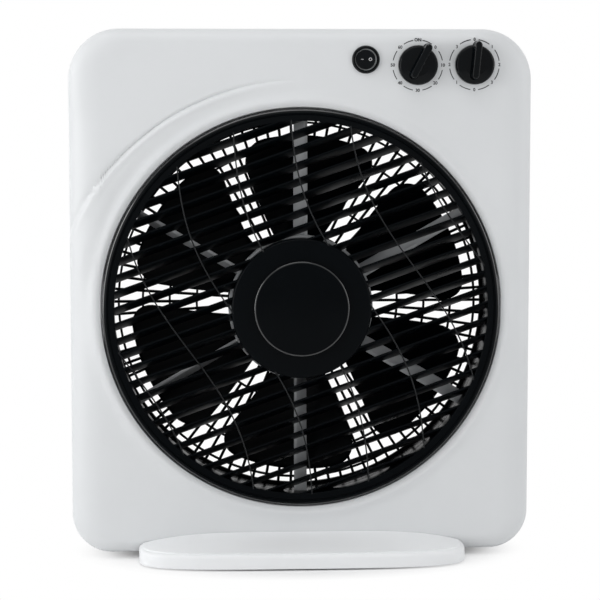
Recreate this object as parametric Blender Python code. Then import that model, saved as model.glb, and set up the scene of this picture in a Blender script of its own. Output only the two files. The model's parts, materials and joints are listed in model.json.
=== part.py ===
"""Box fan with a slowly turning louvre wheel in front of the impeller.

Metres, +X to the right seen from the front, +Y to the back, +Z up. The origin is on the floor, under the
middle of the foot. Both wheels turn about one axis along Y, at FAN_HEIGHT above the floor.
"""

import math

import bmesh
import bpy
from mathutils import Matrix, Vector

MM = 0.001
SEAT = 0.3 * MM  # gap between pieces that touch
RUNNING = 0.05 * MM  # radial play of a bush or a bearing on its shaft

# housing
BODY_WIDTH = 378 * MM
BODY_HEIGHT = 430 * MM
BODY_DEPTH = 78 * MM
BODY_LIFT = 5 * MM  # underside of the housing above the floor
TOP_CORNER = 41 * MM
BOTTOM_CORNER = 32 * MM
SHELL_WALL = 2.5 * MM
EDGE_ROUND = 13 * MM
EDGE_STEPS = 3
CORNER_STEPS = 5
FAN_DROP = 12.5 * MM  # the fan's axis below the housing's middle
OPENING_RADIUS = 164 * MM
COLLAR_WIDTH = 10 * MM
COLLAR_PROUD = 3 * MM
OPENING_DEPTH = 18 * MM  # from the collar's crest to the shelf in front of the chamber
SHELF_WIDTH = 3 * MM
GUARD_LEDGE = 2.5 * MM
BOSS_RADIUS = 5 * MM
CORNER_BOSS_INSET = 22 * MM
SHELL_SCREW_SEAT = 14 * MM
PILOT_DEPTH = 14 * MM
ROUND_STEPS = 40
SMALL_STEPS = 12

# louvre wheel
WHEEL_PLAY = 1.6 * MM
WHEEL_DEPTH = 18 * MM
WHEEL_PROUD = 2 * MM  # rim in front of the collar's crest
RIM_WIDTH = 9.4 * MM
RIM_WALL = 2.5 * MM
RIM_EDGE = 1.9 * MM
SLAT_PITCH = 12.27 * MM  # counted from the slat that runs through the axis
SLAT_THICKNESS = 1.8 * MM
SLAT_DEPTH = 13.6 * MM
SLAT_PITCH_ANGLE = math.radians(21)  # front edge up
SLAT_RISE = math.radians(19.5)  # the slats rise to the right by this much at rest
SLAT_INSET = 16.5 * MM  # from the wheel's front to the back of the slats
HUB_INSET = 2 * MM
WHEEL_HUB_RADIUS = 57.5 * MM
CAP_RADIUS = 39 * MM
CAP_HEIGHT = 6.7 * MM
SPINDLE_RADIUS = 3 * MM
SPINDLE_HEAD_RADIUS = 6.5 * MM
BUSH_WALL = 2.45 * MM
BUSH_BOSS = 3.2 * MM

# spider behind the louvre wheel
SPIDER_HUB_RADIUS = 59.6 * MM
SPIDER_HUB_THICKNESS = 4.5 * MM
SPIDER_GAP = 0.8 * MM  # behind the slats
ARM_COUNT = 6
ARM_SPREAD = 11 * MM  # tangential distance between an arm's front and back edges
ARM_THICKNESS = 2.6 * MM
SPIDER_RING = 3.4 * MM
SPIDER_RING_DEPTH = 6 * MM
DUCT_WALL = 1.8 * MM

# impeller
BLADE_COUNT = 6
TIP_CLEARANCE = 20 * MM
IMPELLER_WALL = 2.5 * MM
IMPELLER_CLEARANCE = 13 * MM  # from the motor to the outside of the impeller's cup
BLADE_GAP = 20 * MM
BLADE_THICKNESS = 2.2 * MM
BLADE_DEPTH = 27 * MM
BLADE_CORNER = 20 * MM
BLADE_SWEEP = math.radians(5)
BLADE_SLOPE = 0.42  # how much of half its depth a blade uses on each side of its middle
IMPELLER_BOSS = 3 * MM
IMPELLER_LEAD = 5 * MM  # impeller's cup in front of the motor
NUT_DEPTH = 6.5 * MM
NUT_RADIUS = 9 * MM

# motor
SHAFT_RADIUS = 4 * MM
MOTOR_RADIUS = 43 * MM
MOTOR_WALL = 2.5 * MM
FRONT_BELL = 9.7 * MM
STACK = 12.7 * MM
REAR_BELL = 25 * MM
ROTOR_RADIUS = 22 * MM
AIR_GAP = 0.5 * MM
POLE_COUNT = 8
WINDING_RADII = (28 * MM, 38 * MM)
WINDING_DEPTHS = (7 * MM, 9 * MM)
BEARING_RADIUS = 9 * MM
BEARING_WIDTH = 6 * MM
MOTOR_INTO_GUARD = 14 * MM  # motor's back behind the guard's back
EAR_REACH = 6 * MM
EAR_HALF = 4.5 * MM
EAR_THICKNESS = 3 * MM
MOTOR_SCREWS = 3

# rear guard and motor cover
GUARD_INSET = 7 * MM  # guard's back in front of the housing's back
GUARD_THICKNESS = 4 * MM
GUARD_BARS = 20
GUARD_BAR = 2 * MM
GUARD_RING_SHARES = (0.53, 0.672, 0.813, 0.94)  # of the chamber's radius
GUARD_FLANGE = 4.2 * MM
COVER_DEPTH = 27.7 * MM
COVER_WALL = 2 * MM
COVER_SLOTS = 5
COVER_SLOT_PITCH = 12 * MM
COVER_SLOT_HALF = 2 * MM

# louvre drive
DRIVE_ANGLE = math.radians(225)
ROLLER_RADIUS = 8 * MM
ROLLER_WIDTH = 7 * MM
ROLLER_HUB = 5 * MM
DRIVE_MOTOR_RADIUS = 24 * MM
DRIVE_MOTOR_DEPTH = 16 * MM
DRIVE_SHAFT = 1.5 * MM
DRIVE_SHAFT_GRIP = 6.5 * MM
BRACKET_THICKNESS = 2 * MM
BRACKET_REACH = 14 * MM
BRACKET_POST = 4 * MM

# controls, as distances from the housing's right side and top
ROCKER_INSET = (136.8 * MM, 25 * MM)
TIMER_INSET = (94.5 * MM, 29.5 * MM)
SPEED_INSET = (48.2 * MM, 29 * MM)
BEZEL_RADIUS = 11.5 * MM
BEZEL_BARREL = 9.8 * MM
BEZEL_PROUD = 2.2 * MM
ROCKER_RADIUS = 8.2 * MM
ROCKER_DISH = 1.6 * MM
ROCKER_REST = math.radians(-7)
ROCKER_CASE = 19 * MM
CONTACT_HALF = 0.4 * MM
CONTACT_SPACING = 4 * MM
KNOB_RADIUS = 16.25 * MM
KNOB_SKIRT = 5 * MM
KNOB_HEIGHT = 16 * MM
KNOB_GAP = 1.2 * MM
KNOB_SOCKET = 4.5 * MM
GRIP_WIDTH = 6.3 * MM
GRIP_OVERHANG = 3 * MM  # how far the pointer end reaches past the skirt
GRIP_TAIL = 11.5 * MM
TIMER_POINTER = math.radians(28)
SPEED_POINTER = math.radians(5.7)
SWITCH_SHAFT = 3 * MM
SWITCH_GRIP = 8 * MM  # how deep a shaft sits in its switch
SWITCH_SIDE = 26 * MM
SWITCH_DEPTH = 18 * MM
TIMER_DEPTH = 28 * MM

# foot
FOOT_HALF_WIDTH = 134 * MM
FOOT_REACH = 48 * MM  # in front of the housing and behind it
FOOT_SQUARENESS = 4  # power of the outline's and the dome's curves
FOOT_RIM = 13.2 * MM
FOOT_DOME = 9.5 * MM
FOOT_EDGE = 3.5 * MM
FOOT_FLOOR = 3.5 * MM
FOOT_CLEAR = 1.2 * MM  # foot's rim above the floor
FOOT_BOSS = 17 * MM
PAD_RADIUS = 8 * MM
PAD_TOP = 3 * MM
PAD_INSET = 34 * MM  # from the foot's end
PAD_OUT = 13 * MM  # from the housing's faces
FOOT_SCREW_INSET = 44 * MM
FOOT_SCREW_Y = 18 * MM

# small parts
SCREW_RADIUS = 1.5 * MM
SCREW_HEAD = 3.5 * MM
SCREW_HEAD_DEPTH = 2 * MM
CAPACITOR_INSET = (29 * MM, 35 * MM)
CAPACITOR_SIZE = (37 * MM, 15 * MM, 14 * MM)
GLAND_INSET = (69 * MM, 35 * MM)
GLAND_RADIUS = 5.5 * MM
GLAND_BORE = 3.2 * MM
GLAND_FLANGE = 2.5 * MM
GLAND_OUT = 8 * MM
GLAND_IN = 9 * MM

# places worked out from the sizes above
RIGHT = BODY_WIDTH / 2
TOP = BODY_LIFT + BODY_HEIGHT
FRONT = -BODY_DEPTH / 2
BACK = BODY_DEPTH / 2
FAN_HEIGHT = BODY_LIFT + BODY_HEIGHT / 2 - FAN_DROP
AXIS = Vector((0, 0, FAN_HEIGHT))
CREST = FRONT - COLLAR_PROUD
SHELF = CREST + OPENING_DEPTH
CHAMBER_RADIUS = OPENING_RADIUS - SHELF_WIDTH
WHEEL_RADIUS = OPENING_RADIUS - WHEEL_PLAY
WHEEL_FRONT = CREST - WHEEL_PROUD
WHEEL_BACK = WHEEL_FRONT + WHEEL_DEPTH
SLAT_BACK = WHEEL_FRONT + SLAT_INSET
HUB_FACE = WHEEL_FRONT + HUB_INSET
SPIDER_FRONT = SLAT_BACK + SPIDER_GAP
SPIDER_RING_FRONT = SHELF + 2 * SEAT
SPIDER_RING_BACK = SPIDER_RING_FRONT + SPIDER_RING_DEPTH
SPINDLE_HEAD = SPIDER_FRONT + SPIDER_HUB_THICKNESS + 1.8 * MM
GUARD_BACK = BACK - GUARD_INSET
GUARD_RINGS = [share * CHAMBER_RADIUS for share in GUARD_RING_SHARES]
MOTOR_BACK = GUARD_BACK + MOTOR_INTO_GUARD
REAR_BELL_FRONT = MOTOR_BACK - REAR_BELL
STACK_BACK = REAR_BELL_FRONT - SEAT
STACK_FRONT = STACK_BACK - STACK
MOTOR_FRONT = STACK_FRONT - SEAT - FRONT_BELL
EAR_BACK = GUARD_BACK - GUARD_THICKNESS - SEAT
MOTOR_EAR_RADIUS = MOTOR_RADIUS + EAR_REACH
GUARD_PLATE_RADIUS = MOTOR_EAR_RADIUS + 10 * MM
COVER_RADIUS = GUARD_PLATE_RADIUS - MM
IMPELLER_FRONT = MOTOR_FRONT - IMPELLER_LEAD
IMPELLER_HUB_RADIUS = MOTOR_RADIUS + IMPELLER_CLEARANCE
TIP_RADIUS = CHAMBER_RADIUS - TIP_CLEARANCE
ARM_FRONT = SPIDER_FRONT + MM
ARM_BACK = IMPELLER_FRONT - 4 * MM
ROLLER_OUT = WHEEL_RADIUS + SEAT + ROLLER_RADIUS
ROLLER_FRONT = FRONT + SHELL_WALL + MM
DRIVE_MOTOR_OUT = OPENING_RADIUS + SHELL_WALL + 0.8 * MM + DRIVE_MOTOR_RADIUS
DRIVE_POST_ALONG = DRIVE_MOTOR_RADIUS + 5.5 * MM
DRIVE_MOTOR_FRONT = SHELF
BRACKET_BACK = DRIVE_MOTOR_FRONT - SEAT
BRACKET_FRONT = BRACKET_BACK - BRACKET_THICKNESS
ROCKER_PLACE = (RIGHT - ROCKER_INSET[0], TOP - ROCKER_INSET[1])
TIMER_PLACE = (RIGHT - TIMER_INSET[0], TOP - TIMER_INSET[1])
SPEED_PLACE = (RIGHT - SPEED_INSET[0], TOP - SPEED_INSET[1])
GLAND_PLACE = (RIGHT - GLAND_INSET[0], BODY_LIFT + GLAND_INSET[1])
FOOT_BOSS_TOP = BODY_LIFT + FOOT_BOSS
FOOT_SCREW_X = FOOT_HALF_WIDTH - FOOT_SCREW_INSET
PAD_X = FOOT_HALF_WIDTH - PAD_INSET
PAD_Y = BACK + PAD_OUT


for old in list(bpy.data.objects):
    bpy.data.objects.remove(old, do_unlink=True)


def material(name, colour, roughness, metallic=0.0):
    made = bpy.data.materials.new(name)
    made.use_nodes = True
    shader = made.node_tree.nodes["Principled BSDF"]
    shader.inputs["Base Color"].default_value = (*colour, 1)
    shader.inputs["Roughness"].default_value = roughness
    shader.inputs["Metallic"].default_value = metallic
    return made


WHITE = ("white plastic", (0.64, 0.66, 0.68), 0.4)
SHADED = ("light plastic", (0.5, 0.52, 0.54), 0.45)
BLACK = ("black plastic", (0.008, 0.009, 0.011), 0.35)
GLOSS = ("gloss black plastic", (0.006, 0.006, 0.008), 0.15)
STEEL = ("steel", (0.5, 0.5, 0.5), 0.3, 1.0)
ZINC = ("zinc plated steel", (0.6, 0.6, 0.58), 0.35, 1.0)
IRON = ("lamination steel", (0.22, 0.22, 0.23), 0.5, 1.0)
ALLOY = ("cast alloy", (0.55, 0.56, 0.57), 0.45, 1.0)
COPPER = ("enamelled copper", (0.5, 0.2, 0.08), 0.35, 0.8)
BRONZE = ("sintered bronze", (0.42, 0.27, 0.12), 0.5, 1.0)
RUBBER = ("black rubber", (0.02, 0.02, 0.02), 0.8)


def add(name, mesh, look, origin=(0, 0, 0)):
    """Makes an object of a bmesh in world coordinates, with its origin at the given point."""
    bmesh.ops.remove_doubles(mesh, verts=mesh.verts, dist=1e-6)
    bmesh.ops.recalc_face_normals(mesh, faces=mesh.faces)
    bmesh.ops.translate(mesh, verts=mesh.verts, vec=-Vector(origin))
    data = bpy.data.meshes.new(name)
    mesh.to_mesh(data)
    mesh.free()
    data.shade_smooth()
    data.set_sharp_from_angle(angle=math.radians(35))
    made = bpy.data.objects.new(name, data)
    made.location = origin
    if look:
        data.materials.append(material(name, *look[1:]))
    bpy.context.scene.collection.objects.link(made)
    return made


def tool(name, mesh):
    """A helper solid that only shapes another object."""
    made = add(name, mesh, None)
    made.hide_render = True
    made.display_type = "WIRE"
    return made


def combine(target, mesh, operation, name):
    """Adds a Boolean of the target with a helper solid."""
    step = target.modifiers.new(name, "BOOLEAN")
    step.operation = operation
    step.object = tool(f"{target.name}_{name}", mesh)
    step.solver = "EXACT"


def turned(profile, centre=AXIS, steps=ROUND_STEPS, axis="Y"):
    """Spins a profile of (radius, place along the axis) about an axis through centre. A profile that starts
    and ends on the axis makes a solid, and any other one is closed into a ring."""
    mesh = bmesh.new()
    verts = [mesh.verts.new((r, y, 0)) for r, y in profile]
    edges = [mesh.edges.new(pair) for pair in zip(verts, verts[1:])]
    if profile[0][0] > 0:
        edges.append(mesh.edges.new((verts[-1], verts[0])))
    bmesh.ops.spin(
        mesh, geom=verts + edges, cent=(0, 0, 0), axis=(0, 1, 0), angle=math.tau, steps=steps, use_merge=True
    )
    bmesh.ops.remove_doubles(mesh, verts=mesh.verts, dist=1e-6)
    if axis == "Z":
        bmesh.ops.rotate(mesh, verts=mesh.verts, matrix=Matrix.Rotation(math.pi / 2, 3, "X"))
    bmesh.ops.translate(mesh, verts=mesh.verts, vec=centre)
    return mesh


def rod(radius, start, end, centre=AXIS, steps=16, axis="Y"):
    return turned([(0, start), (radius, start), (radius, end), (0, end)], centre, steps, axis)


def tube(inner, outer, start, end, centre=AXIS, steps=16, axis="Y"):
    return turned([(inner, start), (outer, start), (outer, end), (inner, end)], centre, steps, axis)


def headed(radius, head, start, neck, end, centre, axis="Y", steps=10):
    """A pin with a head from start to neck and a shank from neck to end."""
    profile = [(0, start), (head, start), (head, neck), (radius, neck), (radius, end), (0, end)]
    return turned(profile, centre, steps, axis)


def block(low, high):
    mesh = bmesh.new()
    bmesh.ops.create_cube(mesh, size=1)
    size = Vector(high) - Vector(low)
    bmesh.ops.scale(mesh, verts=mesh.verts, vec=size)
    bmesh.ops.translate(mesh, verts=mesh.verts, vec=(Vector(high) + Vector(low)) / 2)
    return mesh


def prism(outline, start, end):
    """Extrudes an outline of (x, z) points along Y."""
    mesh = bmesh.new()
    face = mesh.faces.new([mesh.verts.new((x, start, z)) for x, z in outline])
    grown = bmesh.ops.extrude_face_region(mesh, geom=[face])["geom"]
    moved = [item for item in grown if isinstance(item, bmesh.types.BMVert)]
    bmesh.ops.translate(mesh, verts=moved, vec=(0, end - start, 0))
    return mesh


def loft(loops):
    """Joins loops of as many points each with quads, and closes both ends with a face."""
    mesh = bmesh.new()
    rows = [[mesh.verts.new(point) for point in loop] for loop in loops]
    count = len(rows[0])
    for lower, upper in zip(rows, rows[1:]):
        for i in range(count):
            after = (i + 1) % count
            mesh.faces.new((lower[i], lower[after], upper[after], upper[i]))
    mesh.faces.new(rows[0])
    mesh.faces.new(rows[-1])
    return mesh


def merged(*meshes):
    """One bmesh of several, for helper solids that don't meet."""
    whole = bmesh.new()
    for mesh in meshes:
        data = bpy.data.meshes.new("part")
        mesh.to_mesh(data)
        mesh.free()
        whole.from_mesh(data)
        bpy.data.meshes.remove(data)
    return whole


def around(angle, radius, centre=AXIS):
    """A point at an angle from +X towards +Z, at a radius from a centre."""
    return centre + Vector((math.cos(angle) * radius, 0, math.sin(angle) * radius))


def place(spot):
    return Vector((spot[0], 0, spot[1]))


def upright(x, y):
    return Vector((x, y, 0))


def body_outline(inset):
    """The housing's rounded rectangle seen from the front, moved in by inset."""
    half = RIGHT - inset
    low = BODY_LIFT + inset
    high = TOP - inset
    top = max(TOP_CORNER - inset, MM)
    bottom = max(BOTTOM_CORNER - inset, MM)
    corners = (
        (half - top, high - top, top, 0),
        (top - half, high - top, top, 90),
        (bottom - half, low + bottom, bottom, 180),
        (half - bottom, low + bottom, bottom, 270),
    )
    points = []
    for x, z, radius, turn in corners:
        for i in range(CORNER_STEPS + 1):
            angle = math.radians(turn + 90 * i / CORNER_STEPS)
            points.append((x + math.cos(angle) * radius, z + math.sin(angle) * radius))
    return points


def body_loop(inset, y):
    return [(x, y, z) for x, z in body_outline(inset)]


def shell_solid(face, seam, inward, inset):
    """A block with one rounded edge, from its flat face to the seam. Positive inward runs along +Y."""
    loops = []
    for i in range(EDGE_STEPS + 1):
        angle = math.pi / 2 * i / EDGE_STEPS
        loops.append(
            body_loop(
                inset + EDGE_ROUND * (1 - math.sin(angle)),
                face + inward * EDGE_ROUND * 0.8 * (1 - math.cos(angle)),
            )
        )
    loops.append(body_loop(inset, seam))
    return loft(loops)


def corner_places():
    x = RIGHT - CORNER_BOSS_INSET
    low = BODY_LIFT + CORNER_BOSS_INSET
    high = TOP - CORNER_BOSS_INSET
    return [(x, high), (-x, high), (-x, low), (x, low)]


def drive_point(out, along=0.0):
    """A point in the louvre drive: out from the fan's axis, and along the tangent."""
    base = around(DRIVE_ANGLE, out)
    return base + Vector((-math.sin(DRIVE_ANGLE) * along, 0, math.cos(DRIVE_ANGLE) * along))


def drive_posts():
    return [drive_point(DRIVE_MOTOR_OUT, side * DRIVE_POST_ALONG) for side in (-1, 1)]


def foot_boss(side, y, radius, start, end):
    """An upright round solid over one of the foot's screws."""
    return rod(radius, start, end, upright(side * FOOT_SCREW_X, y), SMALL_STEPS, "Z")


def front_shell():
    seam = -SEAT / 2
    shell = add("front_shell", shell_solid(FRONT, seam, 1, 0), WHITE)
    combine(shell, shell_solid(FRONT + SHELL_WALL, seam + 5 * MM, 1, SHELL_WALL), "DIFFERENCE", "hollow")
    inner_face = FRONT + SHELL_WALL
    out = OPENING_RADIUS + SHELL_WALL
    duct = CHAMBER_RADIUS + SHELL_WALL
    rim = OPENING_RADIUS + COLLAR_WIDTH
    mouth = rod(OPENING_RADIUS + SHELL_WALL / 2, CREST - 5 * MM, 0, steps=ROUND_STEPS)
    combine(shell, mouth, "DIFFERENCE", "mouth")
    collar = [
        (OPENING_RADIUS, CREST + MM),
        (OPENING_RADIUS, SHELF),
        (CHAMBER_RADIUS, SHELF),
        (CHAMBER_RADIUS, seam),
        (duct, seam),
        (duct, SHELF + SHELL_WALL),
        (out, SHELF + SHELL_WALL),
        (out, inner_face - MM),
        (rim, inner_face - MM),
        (rim - 2 * MM, CREST + 0.6 * MM),
        (rim - 5 * MM, CREST),
        (OPENING_RADIUS + MM, CREST),
    ]
    combine(shell, turned(collar), "UNION", "collar")
    root = inner_face - MM
    posts = [rod(BOSS_RADIUS, root, seam, place(spot), SMALL_STEPS) for spot in corner_places()]
    posts += [rod(BRACKET_POST, root, BRACKET_FRONT - SEAT, spot, SMALL_STEPS) for spot in drive_posts()]
    posts += [foot_boss(side, -FOOT_SCREW_Y, BOSS_RADIUS, BODY_LIFT + MM, FOOT_BOSS_TOP) for side in (-1, 1)]
    combine(shell, merged(*posts), "UNION", "posts")
    pilot = SCREW_RADIUS + SEAT
    through = (FRONT - MM, inner_face + MM)
    holes = [rod(pilot, seam - PILOT_DEPTH, 5 * MM, place(spot), SMALL_STEPS) for spot in corner_places()]
    holes += [rod(pilot, BRACKET_FRONT - 8 * MM, BRACKET_FRONT, spot, SMALL_STEPS) for spot in drive_posts()]
    holes += [foot_boss(side, -FOOT_SCREW_Y, pilot, BODY_LIFT - MM, FOOT_BOSS_TOP + MM) for side in (-1, 1)]
    holes.append(rod(BEZEL_BARREL + SEAT, *through, place(ROCKER_PLACE)))
    for spot in (TIMER_PLACE, SPEED_PLACE):
        holes.append(rod(SWITCH_SHAFT + 2 * SEAT, *through, place(spot), 16))
    window = (ROLLER_FRONT - 0.7 * MM, ROLLER_FRONT + ROLLER_WIDTH + MM)
    holes.append(rod(ROLLER_RADIUS + MM, *window, drive_point(ROLLER_OUT)))
    combine(shell, merged(*holes), "DIFFERENCE", "holes")


def rear_shell():
    seam = SEAT / 2
    shell = add("rear_shell", shell_solid(BACK, seam, -1, 0), WHITE)
    combine(shell, shell_solid(BACK - SHELL_WALL, seam - 5 * MM, -1, SHELL_WALL), "DIFFERENCE", "hollow")
    duct = CHAMBER_RADIUS + SHELL_WALL
    mouth = rod(CHAMBER_RADIUS + SHELL_WALL / 2, 0, BACK + 5 * MM, steps=ROUND_STEPS)
    combine(shell, mouth, "DIFFERENCE", "mouth")
    ledge = GUARD_BACK + SEAT
    profile = [
        (CHAMBER_RADIUS, seam),
        (CHAMBER_RADIUS, ledge),
        (CHAMBER_RADIUS - GUARD_LEDGE, ledge),
        (CHAMBER_RADIUS - GUARD_LEDGE, ledge + 2 * MM),
        (CHAMBER_RADIUS, ledge + 2 * MM),
        (CHAMBER_RADIUS, BACK),
        (duct, BACK),
        (duct, seam),
    ]
    combine(shell, turned(profile), "UNION", "duct")
    posts = [rod(BOSS_RADIUS, seam, BACK - MM, place(spot), SMALL_STEPS) for spot in corner_places()]
    posts += [foot_boss(side, FOOT_SCREW_Y, BOSS_RADIUS, BODY_LIFT + MM, FOOT_BOSS_TOP) for side in (-1, 1)]
    combine(shell, merged(*posts), "UNION", "posts")
    pilot = SCREW_RADIUS + SEAT
    wide = SCREW_HEAD + SEAT
    deep = SHELL_SCREW_SEAT
    well = [(0, -MM), (pilot, -MM), (pilot, deep), (wide, deep), (wide, BACK + MM), (0, BACK + MM)]
    holes = [turned(well, place(spot), SMALL_STEPS) for spot in corner_places()]
    holes += [foot_boss(side, FOOT_SCREW_Y, pilot, BODY_LIFT - MM, FOOT_BOSS_TOP + MM) for side in (-1, 1)]
    holes.append(rod(GLAND_RADIUS + SEAT, BACK - 2 * SHELL_WALL, BACK + MM, place(GLAND_PLACE), 16))
    combine(shell, merged(*holes), "DIFFERENCE", "holes")


def shell_screws():
    for i, spot in enumerate(corner_places(), 1):
        neck = SHELL_SCREW_SEAT + SEAT
        tip = 2 * MM - PILOT_DEPTH
        screw = headed(SCREW_RADIUS, SCREW_HEAD, neck + SCREW_HEAD_DEPTH, neck, tip, place(spot))
        add(f"shell_screw_{i}", screw, ZINC)


def slat_end(height, along):
    """The section of a slat at a place along it, in the louvre wheel's own turned directions."""
    corners = []
    for deep, side in ((-1, -1), (-1, 1), (1, 1), (1, -1)):
        y = SLAT_BACK - SEAT - SLAT_DEPTH * (1 - deep) / 2
        across = height - deep * math.tan(SLAT_PITCH_ANGLE) * SLAT_DEPTH / 2 + side * SLAT_THICKNESS / 2
        x = along * math.cos(SLAT_RISE) - across * math.sin(SLAT_RISE)
        z = along * math.sin(SLAT_RISE) + across * math.cos(SLAT_RISE)
        corners.append(AXIS + Vector((x, y, z)))
    return corners


def louvre_wheel():
    inner = WHEEL_RADIUS - RIM_WIDTH
    front = WHEEL_FRONT
    rim = [
        (inner, front + 1.5 * MM),
        (inner + 1.5 * MM, front),
        (WHEEL_RADIUS - RIM_EDGE, front),
        (WHEEL_RADIUS, front + RIM_EDGE),
        (WHEEL_RADIUS, WHEEL_BACK),
        (WHEEL_RADIUS - RIM_WALL, WHEEL_BACK),
        (WHEEL_RADIUS - RIM_WALL, front + RIM_WALL),
        (inner + RIM_WALL, front + RIM_WALL),
        (inner + RIM_WALL, SLAT_BACK),
        (inner, SLAT_BACK),
    ]
    wheel = add("louvre_wheel", turned(rim), BLACK, AXIS)
    hub = WHEEL_HUB_RADIUS
    bore = SPINDLE_RADIUS + RUNNING + BUSH_WALL + SEAT
    plate = [
        (bore, HUB_FACE),
        (hub - 2 * MM, HUB_FACE),
        (hub, HUB_FACE + 1.5 * MM),
        (hub, SLAT_BACK),
        (hub - RIM_WALL, SLAT_BACK),
        (hub - RIM_WALL, HUB_FACE + RIM_WALL),
        (bore + BUSH_BOSS, HUB_FACE + RIM_WALL),
        (bore + BUSH_BOSS, SLAT_BACK + 0.5 * MM),
        (bore, SLAT_BACK + 0.5 * MM),
    ]
    slats = []
    reach = inner + RIM_WALL
    count = int(inner / SLAT_PITCH)
    for row in range(-count, count + 1):
        height = row * SLAT_PITCH
        chord = math.sqrt(reach**2 - height**2)
        hidden = hub**2 - height**2
        stop = math.sqrt(hidden) - 6 * MM if hidden > (8 * MM) ** 2 else 0
        spans = [(-chord, -stop), (stop, chord)] if stop > 0 else [(-chord, chord)]
        slats += [loft([slat_end(height, u) for u in span]) for span in spans]
    body = tool("louvre_wheel_slats", merged(*slats))
    trim = body.modifiers.new("trim", "BOOLEAN")
    trim.operation = "INTERSECT"
    trim.object = tool(
        "louvre_wheel_trim",
        tube(hub - MM, inner + MM, front - 10 * MM, SLAT_BACK + 10 * MM, steps=ROUND_STEPS),
    )
    trim.solver = "EXACT"
    combine(wheel, turned(plate, steps=32), "UNION", "plate")
    join = wheel.modifiers.new("slats", "BOOLEAN")
    join.operation = "UNION"
    join.object = body
    join.solver = "EXACT"


def louvre_bearing():
    bore = SPINDLE_RADIUS + RUNNING
    add("louvre_bush", tube(bore, bore + BUSH_WALL, HUB_FACE, SPIDER_FRONT - SEAT, steps=24), BRONZE, AXIS)
    tip = HUB_FACE - SEAT
    spindle = [
        (0, tip + 10 * MM),
        (SCREW_RADIUS + SEAT, tip + 10 * MM),
        (SCREW_RADIUS + SEAT, tip),
        (SPINDLE_RADIUS, tip),
        (SPINDLE_RADIUS, SPINDLE_HEAD),
        (SPINDLE_HEAD_RADIUS, SPINDLE_HEAD),
        (SPINDLE_HEAD_RADIUS, SPINDLE_HEAD + 2 * MM),
        (0, SPINDLE_HEAD + 2 * MM),
    ]
    add("louvre_spindle", turned(spindle, steps=24), STEEL)
    washer = tip - 0.8 * MM
    add("louvre_washer", tube(SCREW_RADIUS + SEAT, 7 * MM, washer - SEAT, tip - SEAT), ZINC)
    head = washer - 2 * SEAT
    add("louvre_screw", headed(SCREW_RADIUS, 4.2 * MM, head - 2.2 * MM, head, tip + 9 * MM, AXIS), ZINC)
    edge = HUB_FACE - SEAT
    cap = [
        (0, edge - CAP_HEIGHT),
        (CAP_RADIUS * 0.75, edge - CAP_HEIGHT * 0.85),
        (CAP_RADIUS * 0.95, edge - CAP_HEIGHT * 0.5),
        (CAP_RADIUS, edge),
        (CAP_RADIUS - 2 * MM, edge),
        (CAP_RADIUS * 0.9, edge - CAP_HEIGHT * 0.35),
        (CAP_RADIUS * 0.7, edge - CAP_HEIGHT * 0.6),
        (0, edge - CAP_HEIGHT * 0.75),
    ]
    add("louvre_hub_cap", turned(cap, steps=30), BLACK, AXIS)


def spider():
    outer = CHAMBER_RADIUS - SEAT
    hub_back = SPIDER_FRONT + SPIDER_HUB_THICKNESS
    bore = SPINDLE_RADIUS + SEAT
    hub = [
        (bore, SPIDER_FRONT),
        (SPIDER_HUB_RADIUS, SPIDER_FRONT),
        (SPIDER_HUB_RADIUS, hub_back),
        (12 * MM, hub_back),
        (10 * MM, SPINDLE_HEAD - SEAT),
        (bore, SPINDLE_HEAD - SEAT),
    ]
    base = add("spider", turned(hub, steps=24), SHADED)
    ring_inner = outer - SPIDER_RING
    ends = (
        (SPIDER_HUB_RADIUS - 4 * MM, ARM_FRONT, ARM_BACK),
        (ring_inner + MM, WHEEL_BACK + 2 * MM, SPIDER_RING_BACK - 0.5 * MM),
    )
    arms = []
    for i in range(ARM_COUNT):
        angle = math.pi / 2 + math.tau * i / ARM_COUNT
        along = Vector((math.cos(angle), 0, math.sin(angle)))
        clockwise = Vector((math.sin(angle), 0, -math.cos(angle)))
        loops = []
        for out, start, end in ends:
            loop = []
            for y, lean, side in ((0, 0.5, -0.5), (0, 0.5, 0.5), (1, -0.5, 0.5), (1, -0.5, -0.5)):
                shift = lean * ARM_SPREAD + side * ARM_THICKNESS
                depth = start + y * (end - start)
                loop.append(AXIS + along * out + clockwise * shift + Vector((0, depth, 0)))
            loops.append(loop)
        arms.append(loft(loops))
    combine(base, merged(*arms), "UNION", "arms")
    ring = tube(ring_inner, outer, SPIDER_RING_FRONT, SPIDER_RING_BACK, steps=ROUND_STEPS)
    combine(base, ring, "UNION", "ring")


def duct_ring():
    """The dark ring that lines the chamber from the spider to the guard."""
    outer = CHAMBER_RADIUS - 0.8 * MM
    front = SPIDER_RING_BACK + 2 * SEAT
    back = GUARD_BACK - GUARD_THICKNESS - SEAT
    add("duct_ring", tube(outer - DUCT_WALL, outer, front, back, steps=ROUND_STEPS), BLACK)


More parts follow.
